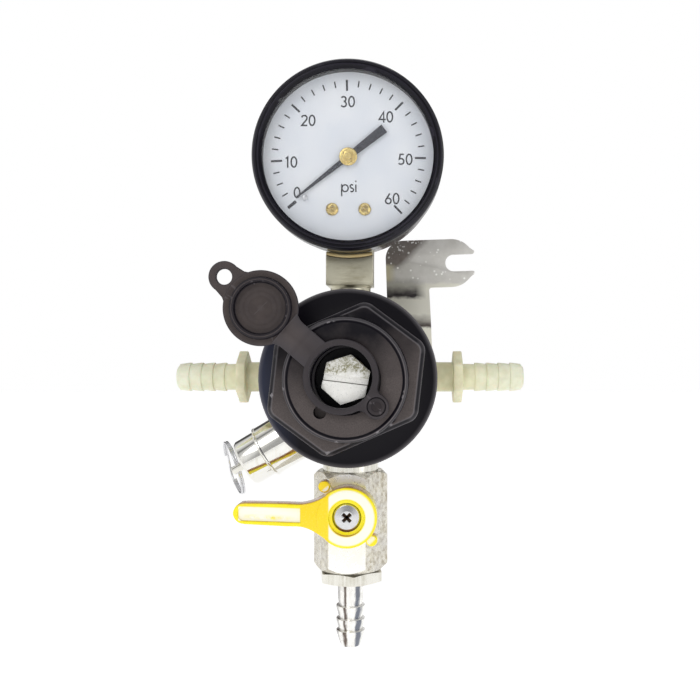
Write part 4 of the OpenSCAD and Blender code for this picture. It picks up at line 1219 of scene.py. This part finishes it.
def make_valve():
    collar = [(3, 16.1), (6.55, 16.1), (6.55, 23.6, 0.3), (8.0, 24, 0.3), (8.6, 24.6, 0.4), (8.6, 29.2),
              (3, 29.2)]
    make_round("valve_collar", collar, "nickel", ("valve_body",), below(), ring=True)
    block = turned_hex(20, 28.8, 59, 1.6, turn=3, bore=6.7)
    hexagonal = new_piece("valve_block", *block, "valve_nickel", below())
    cut(hexagonal, rod(5.62, 4, 12), facing(0, LEVER.x, LEVER.z))
    tidy_normals(hexagonal)
    gland = [(3.1, 5), (5.6, 5), (5.6, 11.4, 0.3), (3.1, 11.4, 0.2)]
    make_round("stem_gland", gland, "nickel", (), facing(0, LEVER.x, LEVER.z), ring=True)
    nut = turned_hex(18.2, 59.5, 62.9, 0.35, turn=81.4, bore=2.2)
    new_piece("tail_nut", *nut, "nickel", below(), ("valve_end_barb",))
    tail = [(2.2, 47), (6.65, 47), (6.65, 59.6), (7.4, 59.6), (7.4, 62.7, 0.1), (4.9, 62.8, 0.3),
            (4.0, 63.2, 0.2), (3.95, 68.4, 0.3), (3.75, 69.6, 0.2)]
    for crest in (71.2, 75.2, 78.8):
        tail += [(3.6, crest - 0.75, 0.1), (4.42, crest - 0.55, 0.1), (4.42, crest, 0.25)]
    tail += [(3.3, 82.3, 0.3), (2.9, 83.2, 0.3), (2.2, 83.2, 0.2)]
    make_round("tail_barbs", tail, "tail_nickel", (), below(), ring=True)
    gasket = [(6.75, 59.02), (7.9, 59.02, 0.1), (7.9, 59.48, 0.1), (6.75, 59.48)]
    make_round("gasket_ring", gasket, "white_plastic", ("valve_gasket",), below(), ring=True)


# ---- Lever ----

LEVER_REACH = 33.0
TIP_R = 3.05
HUB_R = 8.85


def lever_section(x):
    """Half width, back and front of the arm this far to the left of the pivot."""
    root = max(0.0, min(1.0, (14.8 - x) / 9.2))
    half = 3.0 + 0.35 * max(0.0, 1 - abs(x - 18) / 18) + 3.6 * root**2
    end = x - (LEVER_REACH - TIP_R)
    if end > 0:
        half = math.sqrt(max(0.0, TIP_R**2 - end**2))
    step = max(0.0, min(1.0, (13.2 - x) / 6.5))
    front = 19.4 + 1.45 * step * step * (3 - 2 * step)
    back = 14.6 - 2.2 * step
    return half, back, front


def make_lever():
    """The yellow lever: a recessed round hub, two lugs, and a cranked arm with a sunk panel on its grip."""
    at = facing(0, LEVER.x, LEVER.z)
    hub = [(0, 12), (HUB_R - 0.2, 12, 0.3), (HUB_R, 20.9, 0.55), (5.3, 21, 0.2), (5.1, 20.15, 0.2),
           (4.2, 19.95, 0.1), (4.15, 18), (0, 18)]
    lever = new_piece("lever_moulding", *revolve(hub), "yellow_plastic", at, ("lever_handle",), "lever")
    loops = []
    stations = [5.6 + (LEVER_REACH - TIP_R - 5.6) * i / 44 for i in range(45)]
    stations += [LEVER_REACH - TIP_R + TIP_R * math.sin(math.radians(90 * i / 12)) for i in range(1, 12)]
    for x in stations:
        half, back, front = lever_section(x)
        soft = min(0.55, half * 0.5)
        section = []
        for side, level, start in ((-1, back + soft, 180), (1, back + soft, 270), (1, front - soft, 0),
                                   (-1, front - soft, 90)):
            section += arc(side * (half - soft), level, soft, start, start + 90, 4)
        loops.append([(-x, y, h) for y, h in section])
    arm_at = at @ spin(-LEVER_TILT)
    cut(lever, loft(loops), arm_at, "UNION")
    for distance, angle in ((10.9, 128), (10.0, -45)):
        x, y = at_polar(distance, angle)
        lug = revolve([(0, 14), (1.75, 14, 0.4), (1.75, 18.2, 0.6), (0, 18.2)], count=48)
        web = box_at((6.5, -1.3, 14.2), (distance, 1.3, 17.6))
        cut(lever, lug, at @ shift(x, y), "UNION")
        cut(lever, web, at @ spin(angle), "UNION")
    panel = [(-13.3, -2.15), (-13.3, 2.15)] + arc(-LEVER_REACH + 3.4, 0, 2.15, 90, 270, 24)
    cut(lever, prism(panel, 19.0, 22), arm_at)
    bore = box_at((-2.1, -2.1, 10), (2.1, 2.1, 18.5))
    cut(lever, bore, at)
    bevel(lever, 0.16, segments=2, angle=40)
    pan = [(0, 10), (1.6, 10), (1.6, 18.05), (4, 18.05), (4, 19.45, 0.2), (3.5, 19.85, 0.3),
           (1.9, 20.15, 0.8), (0, 20.2)]
    screw = make_round("handle_screw_head", pan, "steel", ("handle_screw",), at, "lever", count=96)
    for angle in (45, 135):
        wing = [(-1.75, -0.5), (1.75, -0.5), (1.75, 0.5), (-1.75, 0.5)]
        deep = [(-1.2, -0.4), (1.2, -0.4), (1.2, 0.4), (-1.2, 0.4)]
        recess = loft([[(x, y, 18.9) for x, y in deep], [(x, y, 20.6) for x, y in wing]])
        cut(screw, recess, at @ spin(angle))
    # A dark brown bar at the bottom of the cross recess: painted shade
    bar = box_at((-1.32, -0.42, 18.7), (1.32, 0.42, 19.3))
    cross = joined(*(moved(bar, spin(angle)) for angle in (45, 135)))
    new_piece("handle_screw_recess_shade", *cross, "screw_recess", at, body="lever")
    bevel(screw, 0.06, segments=2, angle=40)


# ---- Wall bracket ----

# Where the wall screw sits in the slot
SEAT_X = 33.3
SEAT_Z = 37.4


def bracket_outline():
    """The flat sheet's outline: the ear with its open slot, and the strip that runs down behind the body."""
    slot_r = 2.83
    low, high, right, left, inner = 29.4, 45.4, 40.4, 10.6, 24.8
    outline = [(left, -2)] + arc(17.7, -2, 7.1, 180, 360, 24)[1:]
    outline += [(inner, low - 0.6), (inner + 0.6, low)]
    outline += arc(right - 8, low + 8, 8, 270, 322, 12)
    outline += arc(right - 0.9, SEAT_Z - slot_r - 0.75, 0.75, -20, 90, 6)
    outline += arc(SEAT_X, SEAT_Z, slot_r, 270, 90, 24)
    outline += arc(right - 0.9, SEAT_Z + slot_r + 0.75, 0.75, -90, 20, 6)
    outline += arc(right - 8, high - 8, 8, 38, 90, 12)
    outline += arc(left + 6, high - 6, 6, 90, 180, 16)
    return outline


def bracket_depth(z):
    """How far in front of the wall the sheet's back is at this height: an S bend between two flats."""
    step = max(0.0, min(1.0, (30.4 - z) / 15.6))
    return 6.3 * step * step * (3 - 2 * step)


def make_bracket():
    wall = mm_box("wall_bracket")[1].y
    sheet = 1.6
    mesh = bmesh.new()
    face = mesh.faces.new([mesh.verts.new((x, wall, z)) for x, z in bracket_outline()])
    lifted = bmesh.ops.extrude_face_region(mesh, geom=[face])
    for vertex in (item for item in lifted["geom"] if isinstance(item, bmesh.types.BMVert)):
        vertex.co.y -= sheet
    for i in range(41):
        everything = mesh.verts[:] + mesh.edges[:] + mesh.faces[:]
        bmesh.ops.bisect_plane(mesh, geom=everything, plane_co=(0, 0, 14 + 17 * i / 40), plane_no=(0, 0, 1))
    for vertex in mesh.verts:
        vertex.co.y -= bracket_depth(vertex.co.z)
    mesh.verts.index_update()
    vertices = [tuple(v.co) for v in mesh.verts]
    faces = [tuple(v.index for v in f.verts) for f in mesh.faces]
    mesh.free()
    tilt = shift(SEAT_X, 0, SEAT_Z) @ spin(-2, "Y") @ shift(-SEAT_X, 0, -SEAT_Z)
    bracket = new_piece("bracket_sheet", vertices, faces, "bracket_steel", tilt, ("wall_bracket",))
    for z in (9, -1):
        cut(bracket, rod(2.2, -20, -10, 48), facing(0, 15, z))
    bevel(bracket, 0.22, segments=2, angle=40)


# ---- Stage, lights and camera ----

def make_stage():
    """A plain pale floor just below the object."""
    look = Look("floor_paint", (0.92, 0.92, 0.92, 1), 0.9, Specular_IOR_Level=0.1)
    look.base = (0.91, 0.91, 0.91, 1)
    look.paint(look.noise(60.0), (0.93, 0.93, 0.93, 1))
    look.shader.inputs["Emission Color"].default_value = (1, 1, 1, 1)
    look.shader.inputs["Emission Strength"].default_value = 0.45
    level = CAD_BOX[0][2] - 0.12
    mesh = bpy.data.meshes.new("floor")
    reach = 4.0
    corners = [(x * reach, y * reach, level) for x, y in ((-1, -1), (1, -1), (1, 1), (-1, 1))]
    mesh.from_pydata(corners, [], [(0, 1, 2, 3)])
    mesh.materials.append(look.material)
    floor = bpy.data.objects.new("floor", mesh)
    bpy.context.scene.collection.objects.link(floor)


# Brightness of the surroundings around the object: 0 and 1 are behind it, 0.25 left of it, 0.5 in front
AROUND = [(0.0, 0.85), (0.04, 0.8), (0.06, 0.1), (0.1, 0.06), (0.13, 0.7), (0.24, 0.95), (0.3, 0.5),
          (0.33, 0.12), (0.36, 0.75), (0.4, 1.0), (0.44, 0.8), (0.47, 0.42), (0.52, 0.36), (0.55, 0.75),
          (0.6, 1.0), (0.66, 0.8), (0.68, 0.18), (0.72, 0.3), (0.75, 0.9), (0.86, 0.75), (0.89, 0.08),
          (0.94, 0.12), (0.96, 0.8)]
# Brightness by height: 0 is straight down and 1 straight up
BY_HEIGHT = [(0.0, 0.75), (0.25, 0.8), (0.36, 0.45), (0.46, 0.9), (0.55, 1.0), (0.66, 0.95), (0.74, 0.6),
             (0.85, 1.0)]


def set_stops(ramp, stops):
    while len(ramp.elements) < len(stops):
        ramp.elements.new(1.0)
    for element, (position, level) in zip(ramp.elements, stops):
        element.position = position
        element.color = (level, level, level, 1)


def make_surroundings():
    """A white tent with dim stretches, which polished parts show as dark bands. The camera sees white."""
    world = bpy.data.worlds.new("studio")
    bpy.context.scene.world = world
    world.use_nodes = True
    tree = world.node_tree
    tree.nodes.clear()

    def node(kind, *inputs, **settings):
        made = tree.nodes.new(kind)
        for name, value in settings.items():
            setattr(made, name, value)
        for socket, value in zip(made.inputs, inputs):
            if isinstance(value, bpy.types.NodeSocket):
                tree.links.new(value, socket)
            else:
                socket.default_value = value
        return made

    def banded(value, low, high, stops):
        share = node("ShaderNodeMapRange", value, low, high).outputs[0]
        ramp = node("ShaderNodeValToRGB", share)
        set_stops(ramp.color_ramp, stops)
        return ramp.outputs["Color"]

    parts = node("ShaderNodeSeparateXYZ", node("ShaderNodeTexCoord").outputs["Generated"]).outputs
    behind = node("ShaderNodeMath", parts["Y"], -1.0, operation="MULTIPLY").outputs[0]
    heading = node("ShaderNodeMath", parts["X"], behind, operation="ARCTAN2").outputs[0]
    around = banded(heading, -math.pi, math.pi, AROUND)
    by_height = banded(parts["Z"], -1.0, 1.0, BY_HEIGHT)
    both = tree.nodes.new("ShaderNodeMix")
    both.data_type = "RGBA"
    both.blend_type = "MULTIPLY"
    both.inputs[0].default_value = 1.0
    tree.links.new(around, both.inputs[6])
    tree.links.new(by_height, both.inputs[7])
    tent = node("ShaderNodeBackground", both.outputs[2], 1.1)
    plain = node("ShaderNodeBackground", (1, 1, 1, 1), 1.0)
    seen = node("ShaderNodeLightPath").outputs["Is Camera Ray"]
    shader = node("ShaderNodeMixShader", seen, tent.outputs[0], plain.outputs[0])
    node("ShaderNodeOutputWorld", shader.outputs[0])


def make_light(name, spot, size, power):
    """A soft panel that faces the object's middle. spot is in metres from there."""
    light = bpy.data.lights.new(name, "AREA")
    light.shape = "DISK"
    light.size = size
    light.energy = power
    lamp = bpy.data.objects.new(name, light)
    centre = (Vector(CAD_BOX[0]) + Vector(CAD_BOX[1])) / 2
    lamp.location = centre + Vector(spot)
    lamp.rotation_euler = (-Vector(spot)).to_track_quat("-Z", "Y").to_euler()
    bpy.context.scene.collection.objects.link(lamp)


def make_camera():
    camera = bpy.data.cameras.new("camera")
    camera.sensor_width = 36
    camera.lens = 45.8
    camera.shift_x = -0.073
    camera.shift_y = -0.003
    camera.clip_start = 0.01
    camera.clip_end = 20
    holder = bpy.data.objects.new("camera", camera)
    holder.location = place([(15.7, -277, 9.0)])[0]
    holder.rotation_euler = (math.radians(90), 0, 0)
    bpy.context.scene.collection.objects.link(holder)
    bpy.context.scene.camera = holder


def main():
    dress_frame()
    make_bonnet()
    make_adjusting_screw()
    make_tether_ring()
    make_strap()
    make_cap()
    make_gauge_case()
    make_dial_print()
    make_pointer()
    make_dial_hardware()
    make_socket()
    make_side_barb("tail_left", "barb_left", 180)
    make_side_barb("tail_right", "barb_right", 0)
    make_relief_valve()
    make_pull_ring()
    make_valve()
    make_lever()
    make_bracket()
    make_stage()
    make_surroundings()
    make_light("key", (-0.35, -0.7, 0.55), 0.5, 1.6)
    make_light("fill", (0.6, -0.5, 0.1), 0.5, 0.5)
    make_camera()
    bpy.context.scene.view_settings.view_transform = "Standard"


LOOKS = make_materials()
main()
